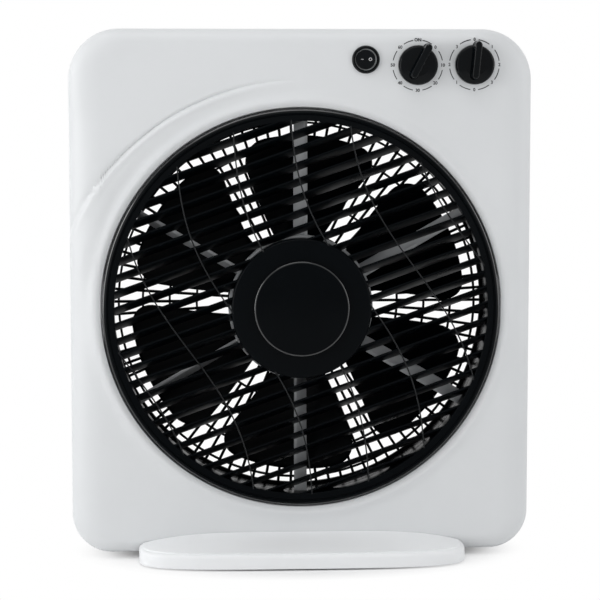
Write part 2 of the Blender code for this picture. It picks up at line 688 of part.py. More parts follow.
def impeller():
    front = IMPELLER_FRONT
    outer = IMPELLER_HUB_RADIUS
    bore = SHAFT_RADIUS + SEAT
    back = front + BLADE_DEPTH
    tip = front - IMPELLER_BOSS
    boss = 2 * SHAFT_RADIUS
    cup = [
        (bore, tip),
        (boss, tip),
        (boss, front),
        (outer - 4 * MM, front),
        (outer, front + 4 * MM),
        (outer, back),
        (outer - IMPELLER_WALL, back),
        (outer - IMPELLER_WALL, front + 4.5 * MM),
        (outer - 5 * MM, front + IMPELLER_WALL),
        (boss, front + IMPELLER_WALL),
        (boss, MOTOR_FRONT - 0.7 * MM),
        (bore, MOTOR_FRONT - 0.7 * MM),
    ]
    wheel = add("impeller", turned(cup, steps=30), BLACK, AXIS)
    blades = [blade(math.radians(30) + math.tau * i / BLADE_COUNT) for i in range(BLADE_COUNT)]
    combine(wheel, merged(*blades), "UNION", "blades")
    nut = [
        (0, tip - NUT_DEPTH),
        (NUT_RADIUS - 4 * MM, tip - NUT_DEPTH),
        (NUT_RADIUS, tip - NUT_DEPTH / 2),
        (NUT_RADIUS, tip - SEAT),
        (bore, tip - SEAT),
        (bore, tip - 4 * MM),
        (0, tip - 4 * MM),
    ]
    add("impeller_nut", turned(nut, steps=24), BLACK, AXIS)


def blade(middle):
    """One blade: a twisted sheet whose edges keep the same gap to the next blade at every radius. Its
    clockwise edge is at the back, and its outer corners are round."""
    root = IMPELLER_HUB_RADIUS - 1.2 * MM
    rows, columns = 4, 6
    top, under = [], []
    for i in range(rows + 1):
        upper, lower = [], []
        for j in range(columns + 1):
            side = -math.cos(math.pi * j / columns)
            width = math.tau * TIP_RADIUS / BLADE_COUNT - BLADE_GAP
            edge = (1 - abs(side)) * width / 2
            cut = max(BLADE_CORNER - edge, 0)
            tip = TIP_RADIUS - (BLADE_CORNER - math.sqrt(BLADE_CORNER**2 - cut**2))
            radius = root + (tip - root) * i / rows
            half = (math.tau * radius / BLADE_COUNT - BLADE_GAP) / 2 / radius
            angle = middle - side * half - BLADE_SWEEP * (radius - root) / (TIP_RADIUS - root)
            y = IMPELLER_FRONT + BLADE_DEPTH * (0.5 + BLADE_SLOPE * side)
            upper.append(around(angle, radius) + Vector((0, y - BLADE_THICKNESS / 2, 0)))
            lower.append(around(angle, radius) + Vector((0, y + BLADE_THICKNESS / 2, 0)))
        top.append(upper)
        under.append(lower)
    mesh = bmesh.new()
    grid = [[[mesh.verts.new(point) for point in row] for row in sheet] for sheet in (top, under)]
    for sheet in grid:
        for i in range(rows):
            for j in range(columns):
                mesh.faces.new((sheet[i][j], sheet[i + 1][j], sheet[i + 1][j + 1], sheet[i][j + 1]))
    rim = [(0, j) for j in range(columns)] + [(i, columns) for i in range(rows)]
    rim += [(rows, j) for j in range(columns, 0, -1)] + [(i, 0) for i in range(rows, 0, -1)]
    for (i, j), (k, m) in zip(rim, rim[1:] + rim[:1]):
        mesh.faces.new((grid[0][i][j], grid[0][k][m], grid[1][k][m], grid[1][i][j]))
    return mesh


def motor():
    inner = MOTOR_RADIUS - MOTOR_WALL
    seat = BEARING_RADIUS + SEAT
    clear = SHAFT_RADIUS + 0.5 * MM
    bearing_front = MOTOR_FRONT + MOTOR_WALL + SEAT
    front_bell = [
        (clear, MOTOR_FRONT),
        (MOTOR_RADIUS - 3 * MM, MOTOR_FRONT),
        (MOTOR_RADIUS, MOTOR_FRONT + 3 * MM),
        (MOTOR_RADIUS, MOTOR_FRONT + FRONT_BELL),
        (inner, MOTOR_FRONT + FRONT_BELL),
        (inner, MOTOR_FRONT + MOTOR_WALL),
        (seat + 3 * MM, MOTOR_FRONT + MOTOR_WALL),
        (seat + 3 * MM, bearing_front + BEARING_WIDTH),
        (seat, bearing_front + BEARING_WIDTH),
        (seat, MOTOR_FRONT + MOTOR_WALL),
        (clear, MOTOR_FRONT + MOTOR_WALL),
    ]
    add("motor_front_bell", turned(front_bell, steps=24), ALLOY)
    bearing_back = MOTOR_BACK - MOTOR_WALL - SEAT
    rear_bell = [
        (clear, MOTOR_BACK - MOTOR_WALL),
        (seat, MOTOR_BACK - MOTOR_WALL),
        (seat, bearing_back - BEARING_WIDTH),
        (seat + 3 * MM, bearing_back - BEARING_WIDTH),
        (seat + 3 * MM, MOTOR_BACK - MOTOR_WALL),
        (inner, MOTOR_BACK - MOTOR_WALL),
        (inner, REAR_BELL_FRONT),
        (MOTOR_RADIUS, REAR_BELL_FRONT),
        (MOTOR_RADIUS, MOTOR_BACK - 3 * MM),
        (MOTOR_RADIUS - 3 * MM, MOTOR_BACK),
        (clear, MOTOR_BACK),
    ]
    bell = add("motor_rear_bell", turned(rear_bell, steps=24), ALLOY)
    ears, ear_holes = [], []
    for spot in motor_screw_places():
        out = (spot - AXIS).normalized()
        side = Vector((out.z, 0, -out.x))
        outline = [AXIS + out * (inner + MM) - side * EAR_HALF, AXIS + out * (inner + MM) + side * EAR_HALF]
        for i in range(7):
            angle = math.pi * i / 6
            outline.append(spot + side * math.cos(angle) * EAR_HALF + out * math.sin(angle) * EAR_HALF)
        ears.append(prism([(p.x, p.z) for p in outline], EAR_BACK - EAR_THICKNESS, EAR_BACK))
        ear_holes.append(rod(SCREW_RADIUS + SEAT, EAR_BACK - 5 * MM, EAR_BACK + MM, spot, 10))
    combine(bell, merged(*ears), "UNION", "ears")
    combine(bell, merged(*ear_holes), "DIFFERENCE", "ear_holes")
    bore = ROTOR_RADIUS + AIR_GAP
    yoke = MOTOR_RADIUS - 9 * MM
    outline_in = []
    for i in range(POLE_COUNT):
        start = math.tau * i / POLE_COUNT
        for share, radius in ((0.04, yoke), (0.26, yoke), (0.3, bore), (0.5, bore), (0.75, bore), (1.0, bore)):
            angle = start + share * math.tau / POLE_COUNT
            outline_in.append((AXIS.x + math.cos(angle) * radius, AXIS.z + math.sin(angle) * radius))
    stator = add("stator", rod(MOTOR_RADIUS - 0.5 * MM, STACK_FRONT, STACK_BACK, steps=24), IRON)
    combine(stator, prism(outline_in, STACK_FRONT - MM, STACK_BACK + MM), "DIFFERENCE", "slots")
    coils = (
        ("winding_front", STACK_FRONT - WINDING_DEPTHS[0], STACK_FRONT - SEAT),
        ("winding_rear", STACK_BACK + SEAT, STACK_BACK + WINDING_DEPTHS[1]),
    )
    for name, start, end in coils:
        add(name, tube(*WINDING_RADII, start, end, steps=24), COPPER)
    rotor_front = bearing_front + BEARING_WIDTH + MM
    rotor = tube(SHAFT_RADIUS + SEAT, ROTOR_RADIUS, rotor_front, STACK_BACK + 1.2 * MM, steps=24)
    add("rotor", rotor, IRON, AXIS)
    tip = IMPELLER_FRONT - IMPELLER_BOSS - 3.5 * MM
    add("motor_shaft", rod(SHAFT_RADIUS, tip, MOTOR_BACK + 2 * MM, steps=24), STEEL, AXIS)
    bore = SHAFT_RADIUS + RUNNING
    for name, start in (("bearing_front", bearing_front), ("bearing_rear", bearing_back - BEARING_WIDTH)):
        add(name, tube(bore, BEARING_RADIUS, start, start + BEARING_WIDTH, steps=24), STEEL)
    for i, spot in enumerate(motor_screw_places(), 1):
        neck = GUARD_BACK + SEAT
        screw = headed(SCREW_RADIUS, SCREW_HEAD, neck + SCREW_HEAD_DEPTH, neck, EAR_BACK - 4 * MM, spot)
        add(f"motor_screw_{i}", screw, ZINC)


def motor_screw_places():
    turns = [math.pi / 2 + math.tau * i / MOTOR_SCREWS for i in range(MOTOR_SCREWS)]
    return [around(turn, MOTOR_EAR_RADIUS) for turn in turns]


def rear_guard():
    """A flat grille cut on a grid of radii and angles: a cell is solid where a ring or a bar passes. The
    innermost gap has half as many bars."""
    half = GUARD_BAR / 2
    outer = CHAMBER_RADIUS * math.cos(math.pi / ROUND_STEPS) - SEAT  # clear of the faceted chamber wall
    hole = MOTOR_RADIUS + 1.2 * MM
    radii = [hole, GUARD_PLATE_RADIUS]
    solid = [True]
    for ring in GUARD_RINGS:
        radii += [ring - half, ring + half]
        solid += [False, True]
    radii += [outer - GUARD_FLANGE, outer]
    solid += [False, True]
    bar_angle = half / GUARD_RINGS[1]
    step = math.tau / GUARD_BARS
    angles = []
    for i in range(GUARD_BARS):
        angles += [i * step - bar_angle, i * step + bar_angle]
    mesh = bmesh.new()
    count = len(angles)
    front = Vector((0, GUARD_BACK - GUARD_THICKNESS, 0))
    points = [[mesh.verts.new(around(a, r) + front) for a in angles] for r in radii]
    faces = []
    for i, full in enumerate(solid):
        for j in range(count):
            bar = j % 2 == 0 and (i > 1 or j % 4 == 0)
            if full or bar:
                after = (j + 1) % count
                cell = (points[i][j], points[i][after], points[i + 1][after], points[i + 1][j])
                faces.append(mesh.faces.new(cell))
    grown = bmesh.ops.extrude_face_region(mesh, geom=faces)["geom"]
    moved = [item for item in grown if isinstance(item, bmesh.types.BMVert)]
    bmesh.ops.translate(mesh, verts=moved, vec=(0, GUARD_THICKNESS, 0))
    loose = [vert for vert in mesh.verts if not vert.link_faces]
    bmesh.ops.delete(mesh, geom=loose, context="VERTS")
    guard = add("rear_guard", mesh, BLACK)
    holes = [
        rod(SCREW_RADIUS + SEAT, GUARD_BACK - 2 * GUARD_THICKNESS, GUARD_BACK + MM, spot, 12)
        for spot in motor_screw_places()
    ]
    combine(guard, merged(*holes), "DIFFERENCE", "holes")


def motor_cover():
    front = GUARD_BACK + SEAT
    back = front + COVER_DEPTH
    profile = [
        (0, back),
        (COVER_RADIUS - 8 * MM, back),
        (COVER_RADIUS - 2 * MM, back - 6 * MM),
        (COVER_RADIUS, front + 3 * MM),
        (COVER_RADIUS, front),
        (COVER_RADIUS - COVER_WALL, front),
        (COVER_RADIUS - 2 * MM - COVER_WALL, back - 7 * MM),
        (COVER_RADIUS - 9 * MM, back - COVER_WALL),
        (0, back - COVER_WALL),
    ]
    cover = add("motor_cover", turned(profile, steps=24), BLACK)
    slots = []
    for i in range(COVER_SLOTS):
        height = (i - (COVER_SLOTS - 1) / 2) * COVER_SLOT_PITCH
        half = math.sqrt((COVER_RADIUS - 16 * MM) ** 2 - height**2)
        z = AXIS.z + height
        low = (-half, back - 2 * COVER_WALL, z - COVER_SLOT_HALF)
        slots.append(block(low, (half, back + MM, z + COVER_SLOT_HALF)))
    combine(cover, merged(*slots), "DIFFERENCE", "slots")


def louvre_drive():
    shaft_centre = drive_point(ROLLER_OUT)
    motor_centre = drive_point(DRIVE_MOTOR_OUT)
    back = DRIVE_MOTOR_FRONT + DRIVE_MOTOR_DEPTH
    case = add("louvre_motor", rod(DRIVE_MOTOR_RADIUS, DRIVE_MOTOR_FRONT, back, motor_centre), ZINC)
    depth = DRIVE_SHAFT_GRIP + 0.5 * MM
    shaft_hole = rod(DRIVE_SHAFT + SEAT, DRIVE_MOTOR_FRONT - MM, DRIVE_MOTOR_FRONT + depth, shaft_centre, 16)
    combine(case, shaft_hole, "DIFFERENCE", "shaft_hole")
    near = ROLLER_OUT - 3.4 * MM
    far = DRIVE_MOTOR_OUT + BRACKET_REACH
    wide = DRIVE_POST_ALONG + 3 * SCREW_RADIUS
    edges = ((near, -wide), (far, -wide), (far, wide), (near, wide))
    corners = [drive_point(out, along) for out, along in edges]
    plate = prism([(p.x, p.z) for p in corners], BRACKET_FRONT, BRACKET_BACK)
    bracket = add("louvre_motor_bracket", plate, ZINC)
    through = (BRACKET_FRONT - MM, BRACKET_BACK + MM)
    holes = [rod(SCREW_RADIUS + SEAT, *through, spot, SMALL_STEPS) for spot in drive_posts()]
    holes.append(rod(DRIVE_SHAFT + SEAT, *through, shaft_centre, 16))
    combine(bracket, merged(*holes), "DIFFERENCE", "holes")
    for i, spot in enumerate(drive_posts(), 1):
        neck = BRACKET_BACK + SEAT
        screw = headed(SCREW_RADIUS, SCREW_HEAD, neck + SCREW_HEAD_DEPTH, neck, BRACKET_FRONT - 7 * MM, spot)
        add(f"bracket_screw_{i}", screw, ZINC)
    end = ROLLER_FRONT + ROLLER_WIDTH
    shaft = rod(DRIVE_SHAFT, ROLLER_FRONT + 0.5 * MM, DRIVE_MOTOR_FRONT + DRIVE_SHAFT_GRIP, shaft_centre, 16)
    add("drive_shaft", shaft, STEEL, shaft_centre)
    hub = tube(DRIVE_SHAFT + SEAT, ROLLER_HUB, ROLLER_FRONT, end, shaft_centre)
    add("roller_hub", hub, WHITE, shaft_centre)
    tyre = tube(ROLLER_HUB + SEAT, ROLLER_RADIUS, ROLLER_FRONT, end, shaft_centre)
    add("roller_tyre", tyre, RUBBER, shaft_centre)


def rocker_switch():
    centre = place(ROCKER_PLACE)
    behind = FRONT + ROCKER_CASE
    seat = FRONT - SEAT
    well = ROCKER_RADIUS + 0.6 * MM
    bezel = [
        (BEZEL_RADIUS - 2.1 * MM, seat - BEZEL_PROUD),
        (BEZEL_RADIUS - 0.8 * MM, seat - BEZEL_PROUD),
        (BEZEL_RADIUS, seat - BEZEL_PROUD + MM),
        (BEZEL_RADIUS, seat),
        (BEZEL_BARREL, seat),
        (BEZEL_BARREL, behind),
        (well, behind),
        (well, seat),
    ]
    add("rocker_bezel", turned(bezel, centre, 20), GLOSS)
    plug = rod(BEZEL_BARREL - 0.4 * MM, behind + SEAT, behind + 6 * MM, centre, 24)
    contacts = add("rocker_contacts", plug, BLACK)
    blades = []
    for x in (centre.x - CONTACT_SPACING, centre.x + CONTACT_SPACING):
        low = (x - CONTACT_HALF, behind + 5 * MM, centre.z - 3 * MM)
        blades.append(block(low, (x + CONTACT_HALF, behind + 13 * MM, centre.z + 3 * MM)))
    combine(contacts, merged(*blades), "UNION", "blades")
    pivot = centre + Vector((0, FRONT + MM, 0))
    radius = ROCKER_RADIUS - 0.3 * MM
    paddle = rod(radius, FRONT - BEZEL_PROUD, FRONT + 4 * MM, centre, 28)
    for vert in paddle.verts:
        if vert.co.y < FRONT:
            share = (vert.co.x - centre.x) / radius
            vert.co.y -= ROCKER_DISH * (share * share - 0.5)
    bmesh.ops.rotate(paddle, verts=paddle.verts, cent=pivot, matrix=Matrix.Rotation(ROCKER_REST, 3, "Z"))
    add("rocker", paddle, GLOSS, pivot)


def knob(name, spot, pointer):
    """A round skirt with a raised grip bar, whose pointer end reaches past the skirt."""
    centre = place(spot)
    back = FRONT - KNOB_GAP
    front = back - KNOB_SKIRT
    bore = SWITCH_SHAFT + SEAT
    skirt = [
        (0, front - 1.5 * MM),
        (KNOB_RADIUS * 0.6, front - 1.2 * MM),
        (KNOB_RADIUS - 1.2 * MM, front),
        (KNOB_RADIUS, front + 1.2 * MM),
        (KNOB_RADIUS, back),
        (bore, back),
        (bore, back - KNOB_SOCKET),
        (0, back - KNOB_SOCKET),
    ]
    made = add(f"{name}_knob", turned(skirt, centre, 24), GLOSS, centre)
    nose = KNOB_RADIUS + GRIP_OVERHANG
    half = GRIP_WIDTH / 2
    heel = half - GRIP_TAIL
    outline = [(-half, nose - half), (-half / 2, nose), (half / 2, nose), (half, nose - half), (half, heel)]
    for i in (1, 2, 3):
        angle = math.pi * i / 4
        outline.append((half * math.cos(angle), heel - half * math.sin(angle)))
    outline.append((-half, heel))
    turn = Matrix.Rotation(pointer, 3, "Y")
    points = [turn @ Vector((x, 0, z)) + centre for x, z in outline]
    grip = prism([(p.x, p.z) for p in points], back - KNOB_HEIGHT, front + 0.2 * MM)
    combine(made, grip, "UNION", "grip")
    shaft = rod(SWITCH_SHAFT, back - KNOB_SOCKET + SEAT, FRONT + SHELL_WALL + SWITCH_GRIP, centre, 16)
    add(f"{name}_shaft", shaft, STEEL, centre)


def switch_body(name, spot, depth):
    centre = place(spot)
    half = SWITCH_SIDE / 2
    start = FRONT + SHELL_WALL + SEAT
    low = (spot[0] - half, start, spot[1] - half)
    high = (spot[0] + half, start + depth, spot[1] + half)
    case = add(f"{name}_body", block(low, high), BLACK)
    bore = rod(SWITCH_SHAFT + SEAT, start - MM, FRONT + SHELL_WALL + SWITCH_GRIP + MM, centre, 16)
    combine(case, bore, "DIFFERENCE", "bore")


def foot_loop(share, z, inset=0.0):
    """The foot's outline from above: a squarish half curve in front and another behind, joined by straight
    sides. Share shrinks it towards its middle."""
    points = []
    steps = 12
    for turn in (-1, 1):
        for i in range(steps + 1):
            angle = math.pi * i / steps
            across = math.copysign(abs(math.cos(angle)) ** (2 / FOOT_SQUARENESS), math.cos(angle))
            out = math.sin(angle) ** (2 / FOOT_SQUARENESS) if 0 < i < steps else 0
            x = -turn * across * (FOOT_HALF_WIDTH - inset)
            y = -turn * (BACK + out * (FOOT_REACH - inset))
            points.append((x * share, y * share, z))
    return points


def foot():
    low = FOOT_CLEAR
    loops = [foot_loop(1, low, 1.2 * MM), foot_loop(1, low + 1.2 * MM)]
    for angle in (0, math.pi / 6, math.pi / 3):
        rise = FOOT_EDGE * (math.sin(angle) - 1)
        loops.append(foot_loop(1, FOOT_RIM + rise, FOOT_EDGE * (1 - math.cos(angle))))
    for share in (0.97, 0.85, 0.7, 0.5, 0.3, 0.1):
        loops.append(foot_loop(share, FOOT_RIM + FOOT_DOME * (1 - share**FOOT_SQUARENESS)))
    base = add("foot", loft(loops), WHITE)
    slot_half = BACK + SEAT
    reach = FOOT_HALF_WIDTH + 5 * MM
    slot = block((-reach, -slot_half, BODY_LIFT - SEAT), (reach, slot_half, FOOT_RIM + 2 * FOOT_DOME))
    combine(base, slot, "DIFFERENCE", "slot")
    wings = []
    for side in (-1, 1):
        outline = []
        for i in range(9):
            angle = math.pi * i / 8
            x = math.cos(angle) * (FOOT_HALF_WIDTH - 34 * MM)
            outline.append((x, side * (slot_half + 5 * MM + math.sin(angle) * (FOOT_REACH - 12 * MM))))
        wings.append(loft([[(x, y, z) for x, y in outline] for z in (0, FOOT_RIM - 2 * MM)]))
    combine(base, merged(*wings), "DIFFERENCE", "hollows")
    cuts = [rod(PAD_RADIUS + SEAT, 0, PAD_TOP + SEAT, spot, 20, "Z") for spot in pad_places()]
    neck = BODY_LIFT - SEAT - FOOT_FLOOR / 3
    wide = SCREW_HEAD + SEAT
    pilot = SCREW_RADIUS + SEAT
    recess = [(0, 0), (wide, 0), (wide, neck), (pilot, neck), (pilot, BODY_LIFT), (0, BODY_LIFT)]
    under = neck - SEAT
    for i, spot in enumerate(foot_screw_places(), 1):
        cuts.append(turned(recess, spot, SMALL_STEPS, "Z"))
        screw = headed(SCREW_RADIUS, SCREW_HEAD, under - 1.6 * MM, under, FOOT_BOSS_TOP - 2 * MM, spot, "Z")
        add(f"foot_screw_{i}", screw, ZINC)
    combine(base, merged(*cuts), "DIFFERENCE", "recesses")
    for i, spot in enumerate(pad_places(), 1):
        add(f"foot_pad_{i}", rod(PAD_RADIUS, 0, PAD_TOP, spot, 20, "Z"), RUBBER)


def foot_screw_places():
    return [upright(x * FOOT_SCREW_X, y * FOOT_SCREW_Y) for x in (-1, 1) for y in (-1, 1)]


def pad_places():
    return [upright(x * PAD_X, y * PAD_Y) for y in (-1, 1) for x in (-1, 1)]


def run_capacitor():
    back = BACK - SHELL_WALL - SEAT
    wide, deep, tall = CAPACITOR_SIZE
    x, z = CAPACITOR_INSET[0] - RIGHT, BODY_LIFT + CAPACITOR_INSET[1]
    add("run_capacitor", block((x, back - deep, z), (x + wide, back, z + tall)), WHITE)


def cable_gland():
    centre = place(GLAND_PLACE)
    profile = [
        (GLAND_BORE, BACK - GLAND_IN),
        (GLAND_RADIUS, BACK - GLAND_IN),
        (GLAND_RADIUS, BACK + SEAT),
        (GLAND_RADIUS + GLAND_FLANGE, BACK + SEAT),
        (GLAND_RADIUS + GLAND_FLANGE, BACK + GLAND_FLANGE),
        (GLAND_BORE + 1.8 * MM, BACK + GLAND_OUT),
        (GLAND_BORE, BACK + GLAND_OUT),
    ]
    add("cable_gland", turned(profile, centre, 20), RUBBER)


front_shell()
rear_shell()
shell_screws()
louvre_wheel()
louvre_bearing()
spider()
duct_ring()
impeller()
motor()
rear_guard()
motor_cover()
louvre_drive()
rocker_switch()
knob("timer", TIMER_PLACE, TIMER_POINTER)
knob("speed", SPEED_PLACE, SPEED_POINTER)
switch_body("timer", TIMER_PLACE, TIMER_DEPTH)
switch_body("speed", SPEED_PLACE, SWITCH_DEPTH)
foot()
run_capacitor()
cable_gland()
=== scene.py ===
# The looks of a box fan with a turning louvre wheel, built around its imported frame. Metres, +Z up.
import json
import math

import bmesh
import bpy
import numpy as np
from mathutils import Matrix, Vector

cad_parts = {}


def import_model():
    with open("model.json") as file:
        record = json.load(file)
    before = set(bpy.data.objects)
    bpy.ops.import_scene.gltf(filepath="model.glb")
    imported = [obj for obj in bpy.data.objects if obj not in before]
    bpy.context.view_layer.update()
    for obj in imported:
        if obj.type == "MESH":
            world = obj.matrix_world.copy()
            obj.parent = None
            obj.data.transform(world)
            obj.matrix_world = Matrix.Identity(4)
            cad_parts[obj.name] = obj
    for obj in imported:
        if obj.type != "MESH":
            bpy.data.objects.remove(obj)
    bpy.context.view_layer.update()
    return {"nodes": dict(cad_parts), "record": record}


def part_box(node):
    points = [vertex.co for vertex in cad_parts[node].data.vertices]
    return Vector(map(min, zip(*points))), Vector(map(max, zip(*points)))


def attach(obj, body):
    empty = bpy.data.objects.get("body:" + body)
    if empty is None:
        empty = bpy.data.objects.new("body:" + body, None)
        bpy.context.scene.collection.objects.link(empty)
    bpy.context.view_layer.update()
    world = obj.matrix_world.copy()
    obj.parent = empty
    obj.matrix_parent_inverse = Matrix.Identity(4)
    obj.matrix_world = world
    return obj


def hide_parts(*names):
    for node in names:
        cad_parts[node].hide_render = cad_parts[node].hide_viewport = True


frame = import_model()
mm = 0.001
print("frame loaded:", len(frame["nodes"]), "nodes")


# places that everything is worked out from

def boxOf(node):
    low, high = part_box(node)
    return np.array(low), np.array(high)


def jointPlace(name):
    joint = next(j for j in frame["record"]["behaviour"]["joints"] if j["name"] == name)
    return np.array(joint["pos_m"])


fanAxis = jointPlace("louvre_spin") * (1, 0, 1)
frontLow, frontHigh = boxOf("front_shell")
rearLow, rearHigh = boxOf("rear_shell")
wheelLow, wheelHigh = boxOf("louvre_wheel")
wheelRadius = (wheelHigh[0] - wheelLow[0]) / 2
wheelFront, wheelBack = wheelLow[1], wheelHigh[1]
slatBack = wheelFront + 16.5 * mm
panelFront = -rearHigh[1]


# meshes

def gridFaces(rows, columns, start, wrapRows, wrapColumns):
    # corners of each cell of a grid of points, row by row, joined end to start where it wraps
    i = np.arange(rows if wrapRows else rows - 1)[:, None]
    j = np.arange(columns if wrapColumns else columns - 1)[None, :]
    right = (j + 1) % columns
    up = (i + 1) % rows
    cells = [i * columns + j, i * columns + right, up * columns + right, up * columns + j]
    return np.stack(np.broadcast_arrays(*cells), -1).reshape(-1, 4) + start


def sheet(points, wrapRows=False, wrapColumns=True, capped=False):
    return dict(points=points, wrapRows=wrapRows, wrapColumns=wrapColumns, capped=capped)


def meshOf(name, sheets, smoothAngle=35):
    verts, faces, start = [], [], 0
    for part in sheets:
        rows, columns = part["points"].shape[:2]
        verts.append(part["points"].reshape(-1, 3))
        faces += gridFaces(rows, columns, start, part["wrapRows"], part["wrapColumns"]).tolist()
        if part["capped"]:
            faces.append((start + np.arange(columns))[::-1].tolist())
            faces.append((start + (rows - 1) * columns + np.arange(columns)).tolist())
        start += rows * columns
    mesh = bpy.data.meshes.new(name)
    mesh.from_pydata(np.concatenate(verts).tolist(), [], faces)
    work = bmesh.new()
    work.from_mesh(mesh)
    bmesh.ops.remove_doubles(work, verts=work.verts, dist=1e-6)
    bmesh.ops.dissolve_degenerate(work, edges=work.edges, dist=1e-7)
    bmesh.ops.recalc_face_normals(work, faces=work.faces)
    work.to_mesh(mesh)
    work.free()
    mesh.shade_smooth()
    mesh.set_sharp_from_angle(angle=math.radians(smoothAngle))
    return mesh


def piece(name, sheets, material, body, nodes=(), smoothAngle=35):
    # a finished object at the origin, riding on its body and standing for its nodes
    mesh = sheets if isinstance(sheets, bpy.types.Mesh) else meshOf(name, sheets, smoothAngle)
    made = bpy.data.objects.new(name, mesh)
    bpy.context.scene.collection.objects.link(made)
    made.data.materials.clear()
    made.data.materials.append(material)
    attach(made, body)
    if nodes:
        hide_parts(*nodes)
    return made


def carve(made, sheets, smoothAngle=35):
    # cuts closed sheets out of a piece and keeps the result as its mesh
    cutter = bpy.data.objects.new("cutter", meshOf("cutter", sheets))
    bpy.context.scene.collection.objects.link(cutter)
    step = made.modifiers.new("carve", "BOOLEAN")
    step.operation, step.object, step.solver = "DIFFERENCE", cutter, "EXACT"
    bpy.context.view_layer.update()
    shaped = bpy.data.meshes.new_from_object(made.evaluated_get(bpy.context.evaluated_depsgraph_get()))
    made.modifiers.clear()
    made.data = shaped
    shaped.shade_smooth()
    shaped.set_sharp_from_angle(angle=math.radians(smoothAngle))
    bpy.data.objects.remove(cutter, do_unlink=True)
    return made


def filleted(corners, steps=6, closed=False):
    # corners of (x, y, radius): each sharp corner becomes an arc that touches both of its sides
    corners = [np.array(c, float) for c in corners]
    count = len(corners)
    out = []
    for i, (x, y, radius) in enumerate(corners):
        here = np.array((x, y))
        ends = not closed and i in (0, count - 1)
        if radius <= 0 or ends:
            out.append(here[None])
            continue
        before = corners[i - 1][:2] - here
        after = corners[(i + 1) % count][:2] - here
        spanA, spanB = np.linalg.norm(before), np.linalg.norm(after)
        before, after = before / spanA, after / spanB
        half = math.acos(max(-1, min(1, float(before @ after)))) / 2
        if half > math.radians(89):
            out.append(here[None])
            continue
        reach = min(radius / math.tan(half), 0.49 * spanA, 0.49 * spanB)
        radius = reach * math.tan(half)
        middle = here + (before + after) / np.linalg.norm(before + after) * radius / math.sin(half)
        a, b = here + before * reach - middle, here + after * reach - middle
        sweep = math.pi - 2 * half
        t = np.linspace(0, 1, steps + 1)[:, None]
        out.append(middle + (np.sin((1 - t) * sweep) * a + np.sin(t * sweep) * b) / math.sin(sweep))
    return np.concatenate(out)


def turned(profile, steps=192, centre=fanAxis, closed=True):
    # a profile of (radius, y) carried round an axis along Y: x = r cos a, z = r sin a
    profile = np.asarray(profile)
    a = np.linspace(0, 2 * math.pi, steps, endpoint=False)
    r, y = profile[:, 0][:, None], profile[:, 1][:, None]
    points = np.stack([r * np.cos(a), y + 0 * a, r * np.sin(a)], -1) + centre
    return sheet(points, wrapRows=closed)


def turnedUp(profile, centre, steps=48):
    # a profile of (radius, z) carried round an axis along Z
    profile = np.asarray(profile)
    a = np.linspace(0, 2 * math.pi, steps, endpoint=False)
    r, z = profile[:, 0][:, None], profile[:, 1][:, None]
    return sheet(np.stack([r * np.cos(a), r * np.sin(a), z + 0 * a], -1) + centre)


def roundedBar(width, depth, radius, steps=3):
    # a rounded rectangle as (across, deep), counter-clockwise
    w, d = width / 2, depth / 2
    return filleted(
        [(w, -d, radius), (w, d, radius), (-w, d, radius), (-w, -d, radius)], steps, closed=True
    )


def smoothStep(value, low, high):
    t = np.clip((value - low) / (high - low), 0, 1)
    return t * t * (3 - 2 * t)


def bump(value, middle, width):
    # a smooth hill of height 1 at the middle
    return np.exp(-(((value - middle) / width) ** 2))


# materials

class Wire:
    # wraps one socket, and turns arithmetic into Math nodes
    def __init__(self, tree, socket=None):
        self.tree, self.socket = tree, socket

    def node(self, kind, sockets=None, output=0, stops=None, **settings):
        made = self.tree.nodes.new("ShaderNode" + kind)
        for key, value in settings.items():
            setattr(made, key, value)
        if stops:
            ramp = made.color_ramp
            for place, level in stops[:-2]:
                ramp.elements.new(place)
            for element, (place, level) in zip(ramp.elements, stops):
                element.position = place
                element.color = (*level, 1) if isinstance(level, tuple) else (level, level, level, 1)
        for key, value in (sockets or {}).items():
            if isinstance(value, Wire):
                self.tree.links.new(value.socket, made.inputs[key])
            else:
                made.inputs[key].default_value = value
        return Wire(self.tree, made.outputs[output] if made.outputs else None)

    def maths(self, operation, *values, clamp=False):
        return self.node("Math", dict(enumerate(values)), operation=operation, use_clamp=clamp)

    def __add__(self, other):
        return self.maths("ADD", self, other)

    def __radd__(self, other):
        return self.maths("ADD", other, self)

    def __sub__(self, other):
        return self.maths("SUBTRACT", self, other)

    def __rsub__(self, other):
        return self.maths("SUBTRACT", other, self)

    def __mul__(self, other):
        return self.maths("MULTIPLY", self, other)

    def __rmul__(self, other):
        return self.maths("MULTIPLY", other, self)

    def __truediv__(self, other):
        return self.maths("DIVIDE", self, other)

    def limited(self, low=0.0, high=1.0):
        return self.maths("MINIMUM", self.maths("MAXIMUM", self, low), high)

    def between(self, low, high):
        # 0 below low, 1 above high, smooth between
        return self.node("MapRange", {0: self, 1: low, 2: high}, interpolation_type="SMOOTHSTEP")


def blank(name):
    made = bpy.data.materials.new(name)
    made.use_nodes = True
    made.node_tree.nodes.clear()
    return made, Wire(made.node_tree)


def place(maker):
    return maker.node("TexCoord", output=3)


def noise(maker, scale, detail=3.0, roughness=0.5, vector=None, distortion=0.0):
    vector = vector or place(maker)
    sockets = {
        "Vector": vector,
        "Scale": scale,
        "Detail": detail,
        "Roughness": roughness,
        "Distortion": distortion,
    }
    return maker.node("TexNoise", sockets)


def mixed(maker, factor, first, second):
    return maker.node("Mix", {0: factor, 6: first, 7: second}, output=2, data_type="RGBA")


